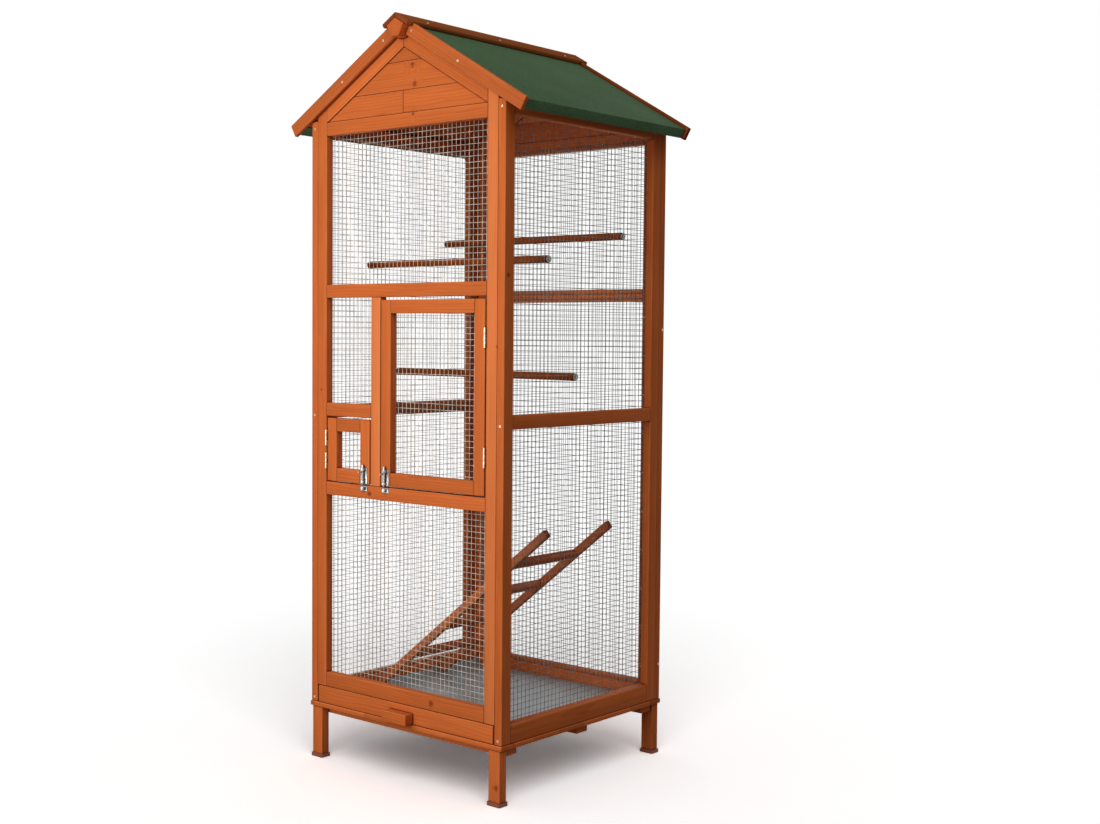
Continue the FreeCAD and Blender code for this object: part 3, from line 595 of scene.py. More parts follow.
def mineral_felt():
    """Roofing felt with a surface of fine mineral granules."""
    roof = bpy.context.scene.aviary_roof
    finish = Finish("mineral_felt")
    place = finish.object_place()
    cells = {"Vector": place, "Scale": 1 / roof.granule}
    granule = finish.parts(finish.add("ShaderNodeTexVoronoi", "Color", cells))[0]
    grain = finish.add("ShaderNodeTexVoronoi", "Distance", cells)
    weather = finish.noise(place, scale=7, detail=4, roughness=0.55)
    colours = finish.mix(finish.between(granule, 0.72, 0.95, 0, 0.7), roof.felt, roof.granule_pale)
    colours = finish.mix(finish.between(granule, 0.3, 0.08, 0, 0.75), colours, roof.granule_dark)
    finish.set(
        Base_Color=finish.brighten(colours, finish.between(weather, 0.3, 0.7, 0.94, 1.06)),
        Roughness=finish.between(granule, 0, 1, 0.8, 0.96),
        Normal=finish.bump(grain, strength=0.5, distance=0.0005),
        Specular_IOR_Level=0.04,
    )
    return finish.material


def moulded_plastic():
    """Brown plastic with a fine moulded texture."""
    fittings = bpy.context.scene.aviary_fittings
    finish = Finish("moulded_plastic")
    place = finish.object_place()
    texture = finish.noise(place, scale=1800, detail=2)
    dust = finish.noise(place, scale=90, detail=4, roughness=0.6)
    tone = finish.between(dust, 0.3, 0.7, 0.85, 1.2)
    finish.set(
        Base_Color=finish.brighten(fittings.plastic, tone),
        Roughness=finish.between(dust, 0.3, 0.7, 0.5, 0.7),
        Normal=finish.bump(texture, strength=0.25, distance=0.0001),
    )
    return finish.material


# Shaping

# Corners closer than this are merged, and so are faces that meet at less than this angle
MERGE_DISTANCE = 0.000002
FLAT_ANGLE = math.radians(1)
# Edges sharper than this are rounded
EDGE_ANGLE = math.radians(35)
# Decimals to which corners are compared and strips are put in order, in metres
CORNER_DECIMALS = 6
ORDER_DECIMALS = 3


def activate(piece):
    """Makes a piece the active one and the only one selected."""
    bpy.ops.object.select_all(action="DESELECT")
    piece.select_set(True)
    bpy.context.view_layer.objects.active = piece


def settled():
    """The shape that was just added, with its place, turn and size put in its mesh."""
    bpy.ops.object.transform_apply(location=True, rotation=True, scale=True)
    return bpy.context.active_object


def modify(piece, kind, **values):
    """Adds a modifier with the given values and applies it."""
    activate(piece)
    bpy.ops.object.modifier_add(type=kind)
    modifier = piece.modifiers[-1]
    for name, value in values.items():
        setattr(modifier, name, value)
    bpy.ops.object.modifier_apply(modifier=modifier.name)


def cut(piece, place, direction):
    """Cuts the faces of a piece along a plane."""
    activate(piece)
    bpy.ops.object.mode_set(mode="EDIT")
    bpy.ops.mesh.select_all(action="SELECT")
    bpy.ops.mesh.bisect(plane_co=place, plane_no=direction)
    bpy.ops.object.mode_set(mode="OBJECT")


def select_faces(piece, chosen):
    """Selects the faces of the active piece whose entries in the list are true."""
    bpy.ops.object.mode_set(mode="EDIT")
    bpy.ops.mesh.select_all(action="DESELECT")
    bpy.ops.object.mode_set(mode="OBJECT")
    for face, wanted in zip(piece.data.polygons, chosen):
        face.select = wanted


def solid_numbers(mesh):
    """The number of the solid that each triangle belongs to: a solid ends where all its edges are closed."""
    def corner(index):
        return tuple(round(value, CORNER_DECIMALS) for value in mesh.vertices[index].co)

    numbers = []
    open_edges = set()
    number = 0
    for triangle in mesh.polygons:
        corners = [corner(index) for index in triangle.vertices]
        for start, end in zip(corners, corners[1:] + corners[:1]):
            if (end, start) in open_edges:
                open_edges.remove((end, start))
            else:
                open_edges.add((start, end))
        numbers.append(number)
        if not open_edges:
            number += 1
    return numbers


def whole_faces(node, name):
    """A copy of a node in which each solid's triangles are merged into whole faces."""
    piece = bpy.data.objects.new(name, frame["nodes"][node].data.copy())
    bpy.context.scene.collection.objects.link(piece)
    mesh = piece.data
    numbers = solid_numbers(mesh)
    mesh.attributes.new("solid", "INT", "FACE").data.foreach_set("value", numbers)
    bpy.context.tool_settings.mesh_select_mode = (False, False, True)
    activate(piece)
    for number in range(max(numbers) + 1):
        select_faces(piece, [owner.value == number for owner in mesh.attributes["solid"].data])
        bpy.ops.object.mode_set(mode="EDIT")
        bpy.ops.mesh.remove_doubles(threshold=MERGE_DISTANCE)
        bpy.ops.object.mode_set(mode="OBJECT")
    bpy.ops.object.mode_set(mode="EDIT")
    bpy.ops.mesh.select_all(action="SELECT")
    bpy.ops.mesh.dissolve_limited(angle_limit=FLAT_ANGLE)
    bpy.ops.object.mode_set(mode="OBJECT")
    mesh.attributes.remove(mesh.attributes["solid"])
    return piece


def ease(piece, width, segments=2):
    """Rounds the edges of a piece and keeps its flat faces flat."""
    activate(piece)
    bpy.ops.object.shade_smooth()
    modify(
        piece, "BEVEL", width=width, segments=segments, limit_method="ANGLE", angle_limit=EDGE_ANGLE,
        harden_normals=True
    )


def loose_parts(mesh):
    """Lists of the vertices that hang together."""
    leader = list(range(len(mesh.vertices)))

    def find(index):
        while leader[index] != index:
            leader[index] = leader[leader[index]]
            index = leader[index]
        return index

    for edge in mesh.edges:
        first, second = edge.vertices
        leader[find(first)] = find(second)
    parts = {}
    for index in range(len(leader)):
        parts.setdefault(find(index), []).append(index)
    return list(parts.values())


def strip_axes(mesh, members):
    """The direction along a strip, which is that of its longest edge, and two directions across it."""
    inside = set(members)
    along = Vector((1, 0, 0))
    longest = 0
    for edge in mesh.edges:
        if edge.vertices[0] in inside:
            run = mesh.vertices[edge.vertices[1]].co - mesh.vertices[edge.vertices[0]].co
            if run.length > longest:
                longest = run.length
                along = run.normalized()
    least = min(range(3), key=lambda axis: abs(along[axis]))
    side = Vector((0, 0, 0))
    side[least] = 1
    deep = along.cross(side).normalized()
    return along, deep.cross(along), deep


def strip_places(mesh, members):
    """Places along and across a strip, counted from its middle, and the strip's half sizes."""
    axes = strip_axes(mesh, members)
    places = [Vector([mesh.vertices[index].co.dot(axis) for axis in axes]) for index in members]
    low = Vector([min(values) for values in zip(*places)])
    high = Vector([max(values) for values in zip(*places)])
    return [place - (low + high) / 2 for place in places], (high - low) / 2


def mark_strips(piece):
    """Gives each strip its grain: places along and across it, its half sizes and a number of its own."""
    mesh = piece.data

    def first_corner(members):
        corners = [mesh.vertices[index].co for index in members]
        return [round(min(values), ORDER_DECIMALS) for values in zip(*corners)]

    chance = random.Random(f"{piece.name} {bpy.context.scene.aviary_wood.seed}")
    place = [Vector()] * len(mesh.vertices)
    half = [Vector()] * len(mesh.vertices)
    strip = [0.0] * len(mesh.vertices)
    for members in sorted(loose_parts(mesh), key=first_corner):
        number = chance.random()
        places, half_size = strip_places(mesh, members)
        for index, value in zip(members, places):
            place[index] = value
            half[index] = half_size
            strip[index] = number
    for name, vectors in (("place", place), ("half", half)):
        values = [value for vector in vectors for value in vector]
        mesh.attributes.new(name, "FLOAT_VECTOR", "POINT").data.foreach_set("vector", values)
    mesh.attributes.new("strip", "FLOAT", "POINT").data.foreach_set("value", strip)


def dress(piece, material, body, slot):
    """Gives a piece its material and the body that it moves with; the slot is not used."""
    piece.data.materials.clear()
    piece.data.materials.append(material)
    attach(piece, body)


def stand_for(piece, material, *nodes):
    """Puts a finished piece in the place of the nodes that it was made from."""
    dress(piece, material, body_of[nodes[0]], slot_of[nodes[0]])
    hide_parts(*nodes)


def wooden_pieces(*nodes, material=None, width=None):
    """Eased and stained pieces in the place of wooden nodes."""
    for node in nodes:
        piece = whole_faces(node, f"{node}_eased")
        ease(piece, width or bpy.context.scene.aviary_wood.ease)
        mark_strips(piece)
        stand_for(piece, material or stained_wood(), node)


def fitted_pieces(material, *nodes):
    """Eased pieces of one material in the place of nodes."""
    for node in nodes:
        piece = whole_faces(node, f"{node}_finished")
        ease(piece, bpy.context.scene.aviary_fittings.ease)
        stand_for(piece, material, node)


def joined(pieces, name):
    """One piece made of several."""
    bpy.ops.object.select_all(action="DESELECT")
    for piece in pieces:
        piece.select_set(True)
    bpy.context.view_layer.objects.active = pieces[0]
    if len(pieces) > 1:
        bpy.ops.object.join()
    pieces[0].name = name
    pieces[0].data.name = name
    return pieces[0]


def copies(model, matrices, name):
    """Copies of one model, each with its own mesh put in place, joined to one piece."""
    pieces = []
    for matrix in matrices:
        mesh = model.data.copy()
        mesh.transform(matrix)
        piece = bpy.data.objects.new(name, mesh)
        bpy.context.scene.collection.objects.link(piece)
        pieces.append(piece)
    return joined(pieces, name)


def facing(place, outward, up=Vector((0, 0, 1)), turn=0):
    """A matrix that puts a model made on the floor on a face with the given outward direction."""
    outward = Vector(outward).normalized()
    across = up.cross(outward).normalized()
    upright = outward.cross(across)
    turned = Matrix((across, upright, outward)).transposed().to_4x4()
    return Matrix.Translation(place) @ turned @ Matrix.Rotation(turn, 4, "Z")


# Wire mesh

# Sheets of mesh, with the direction from each into the cage
SHEETS = {
    "front_mesh_lower": (0, 1, 0),
    "front_mesh_middle": (0, 1, 0),
    "front_mesh_upper": (0, 1, 0),
    "big_door_mesh": (0, 1, 0),
    "small_door_mesh": (0, 1, 0),
    "rear_mesh": (0, -1, 0),
    "left_side_mesh": (1, 0, 0),
    "right_side_mesh": (-1, 0, 0),
}
# Faces round a wire, the lengths that it is cut into, and the angle up to which its edges look round
WIRE_SIDES = 6
WIRE_LENGTHS = 6
WIRE_ROUNDING = math.radians(70)
# Distance over which a wire strays and comes back
STRAY_LENGTH = 0.11


def sheet_axes(inward):
    """The axis through a sheet, and the level axis along it."""
    thin = max(range(2), key=lambda axis: abs(inward[axis]))
    return thin, 1 - thin


def spread(size):
    """How many wires a sheet of this size has, and how far its edge is from the middle of the first one."""
    wire = bpy.context.scene.aviary_wire
    room = size - wire.thickness
    count = int(room / wire.cell) + 1
    return count, (room - (count - 1) * wire.cell) / 2 + wire.thickness / 2


def stray_texture():
    """The noise that sets the wires out of straight."""
    texture = bpy.data.textures.get("stray") or bpy.data.textures.new("stray", "CLOUDS")
    texture.noise_scale = STRAY_LENGTH
    return texture


def model_wire(start, run):
    """One wire, cut into lengths so that it can bend."""
    direction = run.normalized()
    bpy.ops.object.select_all(action="DESELECT")
    bpy.ops.mesh.primitive_cylinder_add(
        vertices=WIRE_SIDES, radius=bpy.context.scene.aviary_wire.thickness / 2, depth=run.length,
        location=start + run / 2, rotation=direction.to_track_quat("Z", "Y").to_euler()
    )
    piece = settled()
    for number in range(1, WIRE_LENGTHS):
        cut(piece, start + run * number / WIRE_LENGTHS, direction)
    return piece


def wire_row(start, run, step, count, axis):
    """A row of equal wires: one is modelled, repeated by an array and set a little out of straight."""
    piece = model_wire(start, run)
    modify(
        piece, "ARRAY", use_relative_offset=False, use_constant_offset=True, constant_offset_displace=step,
        count=count
    )
    waviness = bpy.context.scene.aviary_wire.waviness
    modify(piece, "DISPLACE", texture=stray_texture(), direction=axis, mid_level=0.5, strength=waviness)
    bpy.ops.object.shade_smooth_by_angle(angle=WIRE_ROUNDING)
    return piece


def wire_sheet(node, inward):
    """A sheet of welded mesh: upright wires on its outer face and level wires on its inner one."""
    wire = bpy.context.scene.aviary_wire
    radius = wire.thickness / 2
    low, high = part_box(node)
    thin, wide = sheet_axes(inward)
    outer, inner = (low, high) if inward[thin] > 0 else (high, low)
    across = Vector((0, 0, 0))
    across[wide] = 1

    count, margin = spread(high[wide] - low[wide])
    start = low + across * margin
    start[thin] = outer[thin] + radius * inward[thin]
    run = Vector((0, 0, high.z - low.z))
    uprights = wire_row(start, run, across * wire.cell, count, "XY"[wide])

    count, margin = spread(high.z - low.z)
    start = low + Vector((0, 0, margin))
    start[thin] = inner[thin] - radius * inward[thin]
    run = across * (high[wide] - low[wide])
    levels = wire_row(start, run, Vector((0, 0, wire.cell)), count, "Z")

    piece = joined([uprights, levels], f"{node}_wires")
    # Front and door sheets get the lit copy of the zinc, side and rear sheets the copy with painted shade
    stand_for(piece, bright_wire() if inward.y > 0 else weathered_wire(), node)


# Staples

# Thickness of a staple's wire, length of its legs below the crown and rounding of its edges
STAPLE_BAR = 0.0009
STAPLE_LEG = 0.003
STAPLE_EASE = 0.0002
# How far the staples lie from the edge of their sheet, and how far they lean at most, in degrees
STAPLE_INSET = 0.0048
STAPLE_LEAN = 12


def model_staple():
    """A staple with its crown over the floor and its legs below it."""
    half = bpy.context.scene.aviary_wire.staple_width / 2
    scale = (half * 2, STAPLE_BAR, STAPLE_BAR)
    bpy.ops.object.select_all(action="DESELECT")
    bpy.ops.mesh.primitive_cube_add(size=1, location=(0, 0, STAPLE_BAR / 2), scale=scale)
    staple = settled()
    for place in (STAPLE_BAR - half, half - STAPLE_BAR):
        cut(staple, (place, 0, 0), (1, 0, 0))

    def under_an_end(face):
        return face.normal.z < -0.9 and abs(face.center.x) > half - STAPLE_BAR

    select_faces(staple, [under_an_end(face) for face in staple.data.polygons])
    bpy.ops.object.mode_set(mode="EDIT")
    bpy.ops.mesh.extrude_region_move(TRANSFORM_OT_translate={"value": (0, 0, -STAPLE_LEG)})
    bpy.ops.object.mode_set(mode="OBJECT")
    ease(staple, STAPLE_EASE, segments=1)
    return staple


def stapled_lines(low, high, wide):
    """The four lines of staples on a sheet, each as its start and its end, along the sheet and up."""
    left = low[wide] + STAPLE_INSET
    right = high[wide] - STAPLE_INSET
    bottom = low.z + STAPLE_INSET
    top = high.z - STAPLE_INSET
    uprights = [(across, bottom, across, top) for across in (left, right)]
    levels = [(left, height, right, height) for height in (bottom, top)]
    return uprights + levels


def staple_places(node, inward):
    """Places round the edge of a sheet, on its inner face, each with its turn."""
    spacing = bpy.context.scene.aviary_wire.staple_spacing
    low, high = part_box(node)
    thin, wide = sheet_axes(inward)
    chance = random.Random(node)
    for start_wide, start_high, end_wide, end_high in stapled_lines(low, high, wide):
        run = math.hypot(end_wide - start_wide, end_high - start_high)
        count = max(2, round(run / spacing))
        quarter_turn = 0 if end_high > start_high else math.pi / 2
        for number in range(count):
            part = (number + 0.5) / count
            place = Vector((0, 0, start_high + (end_high - start_high) * part))
            place[wide] = start_wide + (end_wide - start_wide) * part
            place[thin] = high[thin] if inward[thin] > 0 else low[thin]
            lean = math.radians(chance.uniform(-STAPLE_LEAN, STAPLE_LEAN))
            yield facing(place, inward, turn=lean + quarter_turn)


# Screws

# Sizes of a screw's head as shares of its radius: its height, its rounding, and its cross
HEAD_HEIGHT = 0.5
HEAD_EASE = 0.08
CROSS_LENGTH = 1.25
CROSS_WIDTH = 0.26
# Middle of the cross's cutter as a share of the head's height, how far a head stands out, and its faces
CROSS_MIDDLE = 0.12
HEAD_PROUD = 0.0002
HEAD_SIDES = 20

# Screws in a side panel's front edge: up from its foot, below its middle and down from its top
FOOT_SCREW_UP = 0.010
MIDDLE_SCREW_DOWN = 0.002
TOP_SCREW_DOWN = 0.017
# Screws in the side of a rear corner: heights, and how far they lie from the rear face
CORNER_SCREW_HEIGHTS = (0.213, 1.003)
CORNER_SCREW_INSET = 0.006
# Slope of the roof, which the screws in the barge boards and the ridge cap follow
ROOF_SLOPE = math.radians(30)
# Screws in the barge boards: places across the front, and the height of their line under the ridge
BARGE_SCREWS = (-0.185, -0.053, 0.034, 0.171)
BARGE_LINE_TOP = 1.6565
# Screws in the ridge cap: places along it, and how far they lie from the ridge
CAP_SCREWS = (-0.235, 0, 0.235)
CAP_SCREW_OUT = 0.0275
# Screws in a bolt's plate: radius, rows in shares of its height, inset from its sides, y of its front
PLATE_SCREW_RADIUS = 0.0018
PLATE_SCREW_ROWS = (0.30, 0.66)
PLATE_SCREW_INSET = 0.0032
PLATE_FRONT = -0.2822


def model_screw(radius):
    """A countersunk screw's head with its cross, flush with the floor."""
    height = radius * HEAD_HEIGHT
    bpy.ops.object.select_all(action="DESELECT")
    bpy.ops.mesh.primitive_cylinder_add(
        vertices=HEAD_SIDES, radius=radius, depth=height, location=(0, 0, HEAD_PROUD - height / 2)
    )
    head = settled()
    ease(head, radius * HEAD_EASE)
    for size in ((CROSS_LENGTH, CROSS_WIDTH), (CROSS_WIDTH, CROSS_LENGTH)):
        scale = (radius * size[0], radius * size[1], height)
        bpy.ops.object.select_all(action="DESELECT")
        bpy.ops.mesh.primitive_cube_add(size=1, location=(0, 0, height * CROSS_MIDDLE), scale=scale)
        bar = settled()
        modify(head, "BOOLEAN", object=bar, operation="DIFFERENCE")
        bpy.data.objects.remove(bar)
    bpy.ops.object.shade_smooth_by_angle(angle=EDGE_ANGLE)
    return head


def put_screws(model, name, places, body):
    """Copies of the screw at (place, outward) pairs, each turned its own way."""
    chance = random.Random(name)
    matrices = []
    for place, outward in places:
        up = Vector((0, 1, 0)) if abs(outward[2]) > 0.5 else Vector((0, 0, 1))
        matrices.append(facing(Vector(place), outward, up, chance.uniform(0, math.pi)))
    piece = copies(model, matrices, name)
    dress(piece, yellow_plate(), body, "zinc")


def panel_screw_places():
    """Screws in the front edges of the side panels, and in their sides at the rear corners."""
    places = []
    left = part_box("left_side_stiles")
    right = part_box("right_side_stiles")
    rear_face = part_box("rear_stiles")[1].y
    middle = sum(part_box("left_side_rails"), Vector()).z / 2
    for low, high in (left, right):
        centre = (low.x + high.x) / 2
        for height in (low.z + FOOT_SCREW_UP, middle - MIDDLE_SCREW_DOWN, high.z - TOP_SCREW_DOWN):
            places.append(((centre, low.y, height), (0, -1, 0)))
    for side, face in ((-1, left[0].x), (1, right[1].x)):
        for height in CORNER_SCREW_HEIGHTS:
            places.append(((face, rear_face - CORNER_SCREW_INSET, height), (side, 0, 0)))
    return places


def barge_screw_places():
    """Screws in the front barge boards, and at the mirrored places in the rear ones."""
    places = []
    front_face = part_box("front_barge_boards")[0].y
    rear_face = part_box("rear_barge_boards")[1].y
    for across in BARGE_SCREWS:
        height = BARGE_LINE_TOP - abs(across) * math.tan(ROOF_SLOPE)
        places.append(((across, front_face, height), (0, -1, 0)))
        places.append(((-across, rear_face, height), (0, 1, 0)))
    return places


def cap_screw_places():
    """Screws in both boards of the ridge cap."""
    places = []
    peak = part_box("ridge_cap")[1].z
    for side in (-1, 1):
        for along in CAP_SCREWS:
            place = (side * CAP_SCREW_OUT, along, peak - CAP_SCREW_OUT * math.tan(ROOF_SLOPE))
            places.append((place, (side * math.sin(ROOF_SLOPE), 0, math.cos(ROOF_SLOPE))))
    return places


def plate_screw_places(node):
    """Two screws in each row across a bolt's plate."""
    places = []
    low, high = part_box(node)
    for row in PLATE_SCREW_ROWS:
        height = low.z + (high.z - low.z) * row
        for across in (low.x + PLATE_SCREW_INSET, high.x - PLATE_SCREW_INSET):
            places.append(((across, PLATE_FRONT, height), (0, -1, 0)))
    return places


# Stage

# Size of the floor, and how far it lies under the feet
FLOOR_SIZE = 60
FLOOR_DROP = 0.0003
# Places of the lamps and the points that they are turned to
KEY_LAMP = ((2.2, -2.2, 4.4), (0, 0, 1))
NEAR_LAMP = ((-0.1, -1.8, 1.3), (0, 0, 1.1))
REAR_LAMP = ((-0.6, 2.2, 1.4), (0, 0, 1.0))
# How softly the key light's shadows end, and the size of the tall lamps
KEY_ANGLE = math.radians(45)
SOFTBOX_WIDTH = 1.4
SOFTBOX_HEIGHT = 2.2
# Width of the camera's sensor in millimetres
SENSOR_WIDTH = 36


def seen_directly(tree):
    """One where the camera, a reflection or glass looks at the background, zero where it only gives light."""
    path = tree.nodes.new("ShaderNodeLightPath")
    total = path.outputs["Is Camera Ray"]
    for kind in ("Is Glossy Ray", "Is Transmission Ray"):
        both = tree.nodes.new("ShaderNodeMath")
        both.operation = "MAXIMUM"
        tree.links.new(total, both.inputs[0])
        tree.links.new(path.outputs[kind], both.inputs[1])
        total = both.outputs[0]
    return total


def make_world(stage):
    """A background that is seen as white and gives the even light."""
    world = bpy.context.scene.world or bpy.data.worlds.new("studio")
    bpy.context.scene.world = world
    world.use_nodes = True
    tree = world.node_tree
    background = tree.nodes["Background"]
    background.inputs["Color"].default_value = (1, 1, 1, 1)
    level = tree.nodes.new("ShaderNodeMapRange")
    level.inputs["To Min"].default_value = stage.fill
    level.inputs["To Max"].default_value = 1
    tree.links.new(seen_directly(tree), level.inputs["Value"])
    tree.links.new(level.outputs[0], background.inputs["Strength"])


def make_floor(stage):
    """A floor that is seen as white, holds the shadow and throws back a little light."""
    bpy.ops.object.select_all(action="DESELECT")
    bpy.ops.mesh.primitive_plane_add(size=FLOOR_SIZE, location=(0, 0, -FLOOR_DROP))
    floor = settled()
    floor.name = "studio_floor"
    finish = Finish("studio_floor")
    seen = seen_directly(finish.tree)
    thrown_back = (stage.floor_tone,) * 3
    finish.set(
        Base_Color=finish.mix(seen, thrown_back, (stage.floor_gain,) * 3),
        Roughness=0.9,
        Specular_IOR_Level=0.0,
    )
    floor.data.materials.append(finish.material)
    floor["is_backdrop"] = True
    return floor


def make_lamp(kind, name, energy, place, target):
    """A lamp at a place, turned to a target."""
    bpy.ops.object.select_all(action="DESELECT")
    bpy.ops.object.light_add(type=kind, location=place)
    lamp = bpy.context.active_object
    lamp.name = name
    lamp.data.energy = energy
    lamp.rotation_euler = (Vector(target) - Vector(place)).to_track_quat("-Z", "Y").to_euler()
    return lamp


def make_softbox(name, energy, place, target, left_out):
    """A tall lamp close to the object, which leaves out the floor so that it stays evenly white."""
    lamp = make_lamp("AREA", name, energy, place, target)
    lamp.data.shape = "RECTANGLE"
    lamp.data.size = SOFTBOX_WIDTH
    lamp.data.size_y = SOFTBOX_HEIGHT
    lamp.light_linking.receiver_collection = left_out


def make_lamps(stage, floor):
    """A soft key light from above and two tall lamps, whose light fades across the cage."""
    key = make_lamp("SUN", "key_light", stage.key, *KEY_LAMP)
    key.data.angle = KEY_ANGLE
    left_out = bpy.data.collections.new("left_out_of_softboxes")
    left_out.objects.link(floor)
    left_out.collection_objects[0].light_linking.link_state = "EXCLUDE"
    make_softbox("near_light", stage.near, *NEAR_LAMP, left_out)
    make_softbox("rear_light", stage.rear, *REAR_LAMP, left_out)


def make_camera(stage):
    """A camera at the photo's place, turned by its yaw, pitch and roll."""
    forward = Vector((
        -math.sin(stage.yaw) * math.cos(stage.pitch),
        math.cos(stage.yaw) * math.cos(stage.pitch),
        math.sin(stage.pitch),
    ))
    level = Vector((math.cos(stage.yaw), math.sin(stage.yaw), 0))
    upright = level.cross(forward)
    right = level * math.cos(stage.roll) + upright * math.sin(stage.roll)
    up = upright * math.cos(stage.roll) - level * math.sin(stage.roll)
    bpy.ops.object.select_all(action="DESELECT")
    bpy.ops.object.camera_add()
    camera = bpy.context.active_object
    turned = Matrix((right, up, -forward)).transposed().to_4x4()
    camera.matrix_world = Matrix.Translation(stage.camera_place) @ turned
    camera.data.sensor_fit = "HORIZONTAL"
    camera.data.sensor_width = SENSOR_WIDTH
    camera.data.lens = stage.lens
    bpy.context.scene.camera = camera


# Operators

DOORS = ("big_door", "small_door")


class AVIARY_OT_stand(bpy.types.Operator):
    """Makes the legs, the ring of base boards, the slats and the foot caps"""

    bl_idname = "aviary.stand"
    bl_label = "Stand"

    def execute(self, context):
        wooden_pieces("legs", "floor_slats")
        wooden_pieces("base_boards", material=stained_wood("jointed_softwood", jointed=True))
        fitted_pieces(moulded_plastic(), "foot_caps")
        return {"FINISHED"}


class AVIARY_OT_side_panels(bpy.types.Operator):
    """Makes the frames of the left and right panels"""

    bl_idname = "aviary.side_panels"
    bl_label = "Side panels"

    def execute(self, context):
        for side in ("left", "right"):
            wooden_pieces(f"{side}_side_stiles", f"{side}_side_rails")
        return {"FINISHED"}


class AVIARY_OT_front_panel(bpy.types.Operator):
    """Makes the frame of the front panel"""

    bl_idname = "aviary.front_panel"
    bl_label = "Front panel"

    def execute(self, context):
        wooden_pieces("front_stiles", "front_bottom_rail", "front_lower_rail", "front_upper_rail")
        wooden_pieces("front_gable_rail", "front_mullion", "front_short_rail")
        return {"FINISHED"}


class AVIARY_OT_rear_panel(bpy.types.Operator):
    """Makes the frame of the rear panel"""

    bl_idname = "aviary.rear_panel"
    bl_label = "Rear panel"

    def execute(self, context):
        wooden_pieces("rear_stiles", "rear_rails")
        return {"FINISHED"}


class AVIARY_OT_gables(bpy.types.Operator):
    """Makes the rafters and the boarding of both gables"""

    bl_idname = "aviary.gables"
    bl_label = "Gables"

    def execute(self, context):
        for end in ("front", "rear"):
            wooden_pieces(f"{end}_rafters")
            wooden_pieces(f"{end}_gable_boards", width=context.scene.aviary_wood.board_ease)
        return {"FINISHED"}


class AVIARY_OT_roof(bpy.types.Operator):
    """Makes the ridge beam, the roof boards, the felt, the ridge cap and the barge boards"""

    bl_idname = "aviary.roof"
    bl_label = "Roof"

    def execute(self, context):
        barge_wood = stained_wood("barge_softwood", depth=context.scene.aviary_wood.barge)
        wooden_pieces("ridge_beam", "roof_boards")
        wooden_pieces("front_barge_boards", material=barge_wood)
        wooden_pieces("rear_barge_boards", "ridge_cap", material=dipped_and_shaded_wood())
        fitted_pieces(mineral_felt(), "roof_felt")
        return {"FINISHED"}


class AVIARY_OT_doors(bpy.types.Operator):
    """Makes the frames of both doors"""

    bl_idname = "aviary.doors"
    bl_label = "Doors"

    def execute(self, context):
        for door in DOORS:
            wooden_pieces(f"{door}_stiles", f"{door}_rails")
        return {"FINISHED"}


class AVIARY_OT_hardware(bpy.types.Operator):
    """Makes the hinges and the barrel bolts with their keepers"""

    bl_idname = "aviary.hardware"
    bl_label = "Hinges and bolts"

    def execute(self, context):
        for door in DOORS:
            fitted_pieces(yellow_plate(), f"{door}_hinge_leaves")
            fitted_pieces(zinc_plate(), f"{door}_latch_plate", f"{door}_bolt")
        fitted_pieces(yellow_plate(), "hinge_frame_leaves", "hinge_pins")
        fitted_pieces(zinc_plate(), "latch_keepers")
        return {"FINISHED"}


class AVIARY_OT_tray(bpy.types.Operator):
    """Makes the sliding tray with its pull and its metal pan"""

    bl_idname = "aviary.tray"
    bl_label = "Tray"

    def execute(self, context):
        wooden_pieces("tray_front", "tray_pull", "tray_sides", "tray_battens")
        fitted_pieces(galvanised_sheet(), "tray_pan")
        return {"FINISHED"}


class AVIARY_OT_perches(bpy.types.Operator):
    """Makes the three perches with their screws"""

    bl_idname = "aviary.perches"
    bl_label = "Perches"

    def execute(self, context):
        wooden_pieces("perches", material=dipped_and_shaded_wood())
        fitted_pieces(tarnished_plate(), "perch_screws")
        return {"FINISHED"}


class AVIARY_OT_ladder(bpy.types.Operator):
    """Makes the leaning ladder"""

    bl_idname = "aviary.ladder"
    bl_label = "Ladder"

    def execute(self, context):
        # Darker tone: partly the ladder's stain and partly painted shade inside the cage
        ladder_wood = stained_wood("ladder_softwood", depth=context.scene.aviary_wood.ladder, ends=0.7)
        wooden_pieces("ladder_rails", "ladder_rungs", material=ladder_wood)
        return {"FINISHED"}


class AVIARY_OT_wire_mesh(bpy.types.Operator):
    """Makes every sheet of welded mesh from its single wires"""

    bl_idname = "aviary.wire_mesh"
    bl_label = "Wire mesh"

    def execute(self, context):
        for node, inward in SHEETS.items():
            wire_sheet(node, Vector(inward))
        return {"FINISHED"}


class AVIARY_OT_staples(bpy.types.Operator):
    """Makes the staples that hold the sheets of mesh to the wood"""

    bl_idname = "aviary.staples"
    bl_label = "Staples"

    def execute(self, context):
        places = {}
        for node, inward in SHEETS.items():
            places.setdefault(body_of[node], []).extend(staple_places(node, Vector(inward)))
        model = model_staple()
        for body, matrices in places.items():
            piece = copies(model, matrices, f"{body}_staples")
            dress(piece, bright_wire(), body, "wire")
        bpy.data.objects.remove(model)
        return {"FINISHED"}


class AVIARY_OT_screws(bpy.types.Operator):
    """Makes the screws of the frame and of the bolts' plates"""

    bl_idname = "aviary.screws"
    bl_label = "Screws"

    def execute(self, context):
        model = model_screw(context.scene.aviary_fittings.screw_radius)
        frame_places = panel_screw_places() + barge_screw_places() + cap_screw_places()
        put_screws(model, "frame_screws", frame_places, "frame")
        bpy.data.objects.remove(model)
        model = model_screw(PLATE_SCREW_RADIUS)
        for door in DOORS:
            places = plate_screw_places(f"{door}_latch_plate")
            put_screws(model, f"{door}_plate_screws", places, door)
        bpy.data.objects.remove(model)
        return {"FINISHED"}


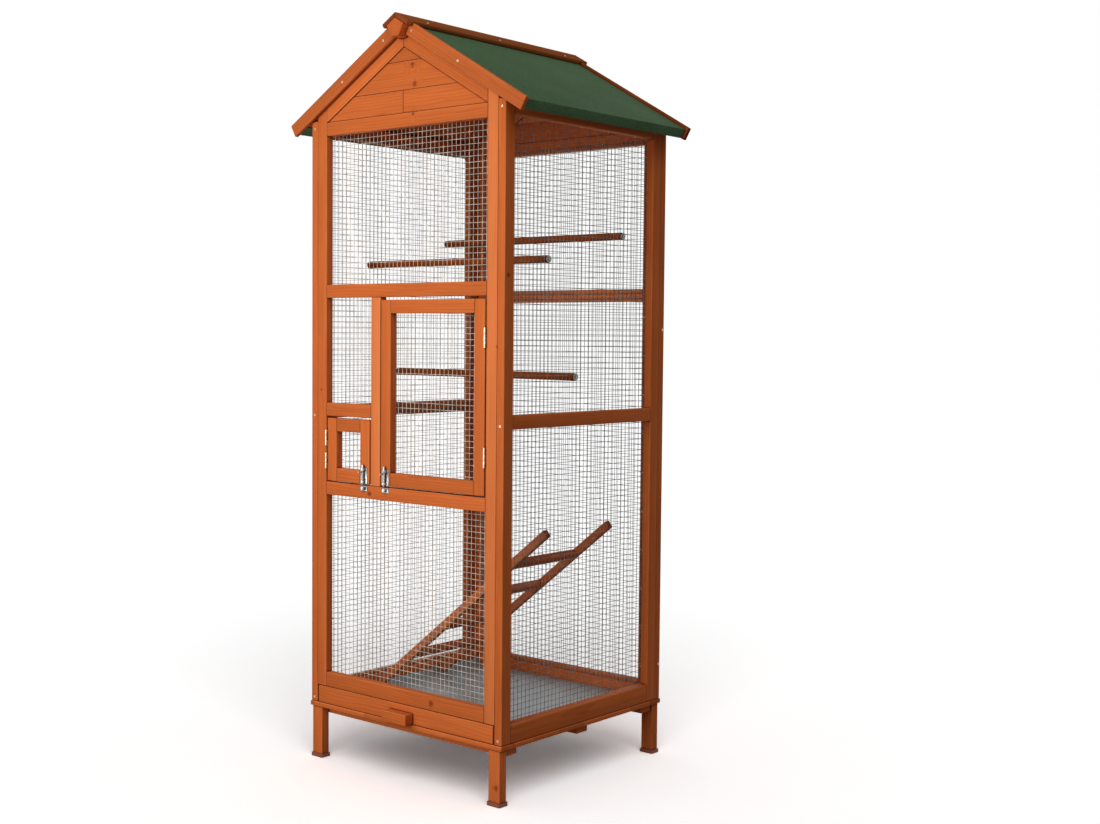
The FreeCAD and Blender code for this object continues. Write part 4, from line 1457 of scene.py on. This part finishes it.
class AVIARY_OT_stage(bpy.types.Operator):
    """Sets up the camera, the light and the floor"""

    bl_idname = "aviary.stage"
    bl_label = "Stage"

    def execute(self, context):
        stage = context.scene.aviary_stage
        context.scene.view_settings.view_transform = "Standard"
        make_world(stage)
        floor = make_floor(stage)
        make_lamps(stage, floor)
        make_camera(stage)
        return {"FINISHED"}


OPERATORS = (
    AVIARY_OT_stand,
    AVIARY_OT_side_panels,
    AVIARY_OT_front_panel,
    AVIARY_OT_rear_panel,
    AVIARY_OT_gables,
    AVIARY_OT_roof,
    AVIARY_OT_doors,
    AVIARY_OT_hardware,
    AVIARY_OT_tray,
    AVIARY_OT_perches,
    AVIARY_OT_ladder,
    AVIARY_OT_wire_mesh,
    AVIARY_OT_staples,
    AVIARY_OT_screws,
    AVIARY_OT_stage,
)


class AVIARY_PT_panel(bpy.types.Panel):
    """Lists the settings and the pieces of the aviary"""

    bl_idname = "AVIARY_PT_panel"
    bl_label = "Aviary"
    bl_space_type = "VIEW_3D"
    bl_region_type = "UI"
    bl_category = "Aviary"

    def draw(self, context):
        for name, settings in SETTINGS.items():
            column = self.layout.column()
            column.label(text=settings.__doc__)
            for key in settings.__annotations__:
                column.prop(getattr(context.scene, name), key)
        for operator in OPERATORS:
            self.layout.operator(operator.bl_idname)


def register():
    for item in (*SETTINGS.values(), *OPERATORS, AVIARY_PT_panel):
        bpy.utils.register_class(item)
    for name, settings in SETTINGS.items():
        setattr(bpy.types.Scene, name, PointerProperty(type=settings))


def unregister():
    for name in SETTINGS:
        delattr(bpy.types.Scene, name)
    for item in reversed((*SETTINGS.values(), *OPERATORS, AVIARY_PT_panel)):
        bpy.utils.unregister_class(item)


def main():
    register()
    bpy.ops.aviary.stand()
    bpy.ops.aviary.side_panels()
    bpy.ops.aviary.front_panel()
    bpy.ops.aviary.rear_panel()
    bpy.ops.aviary.gables()
    bpy.ops.aviary.roof()
    bpy.ops.aviary.doors()
    bpy.ops.aviary.hardware()
    bpy.ops.aviary.tray()
    bpy.ops.aviary.perches()
    bpy.ops.aviary.ladder()
    bpy.ops.aviary.wire_mesh()
    bpy.ops.aviary.staples()
    bpy.ops.aviary.screws()
    bpy.ops.aviary.stage()
    boxes = {"cad": cad_box, "visual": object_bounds()}
    {name: [list(corner) for corner in box] for name, box in boxes.items()}


if __name__ == "__main__":
    main()
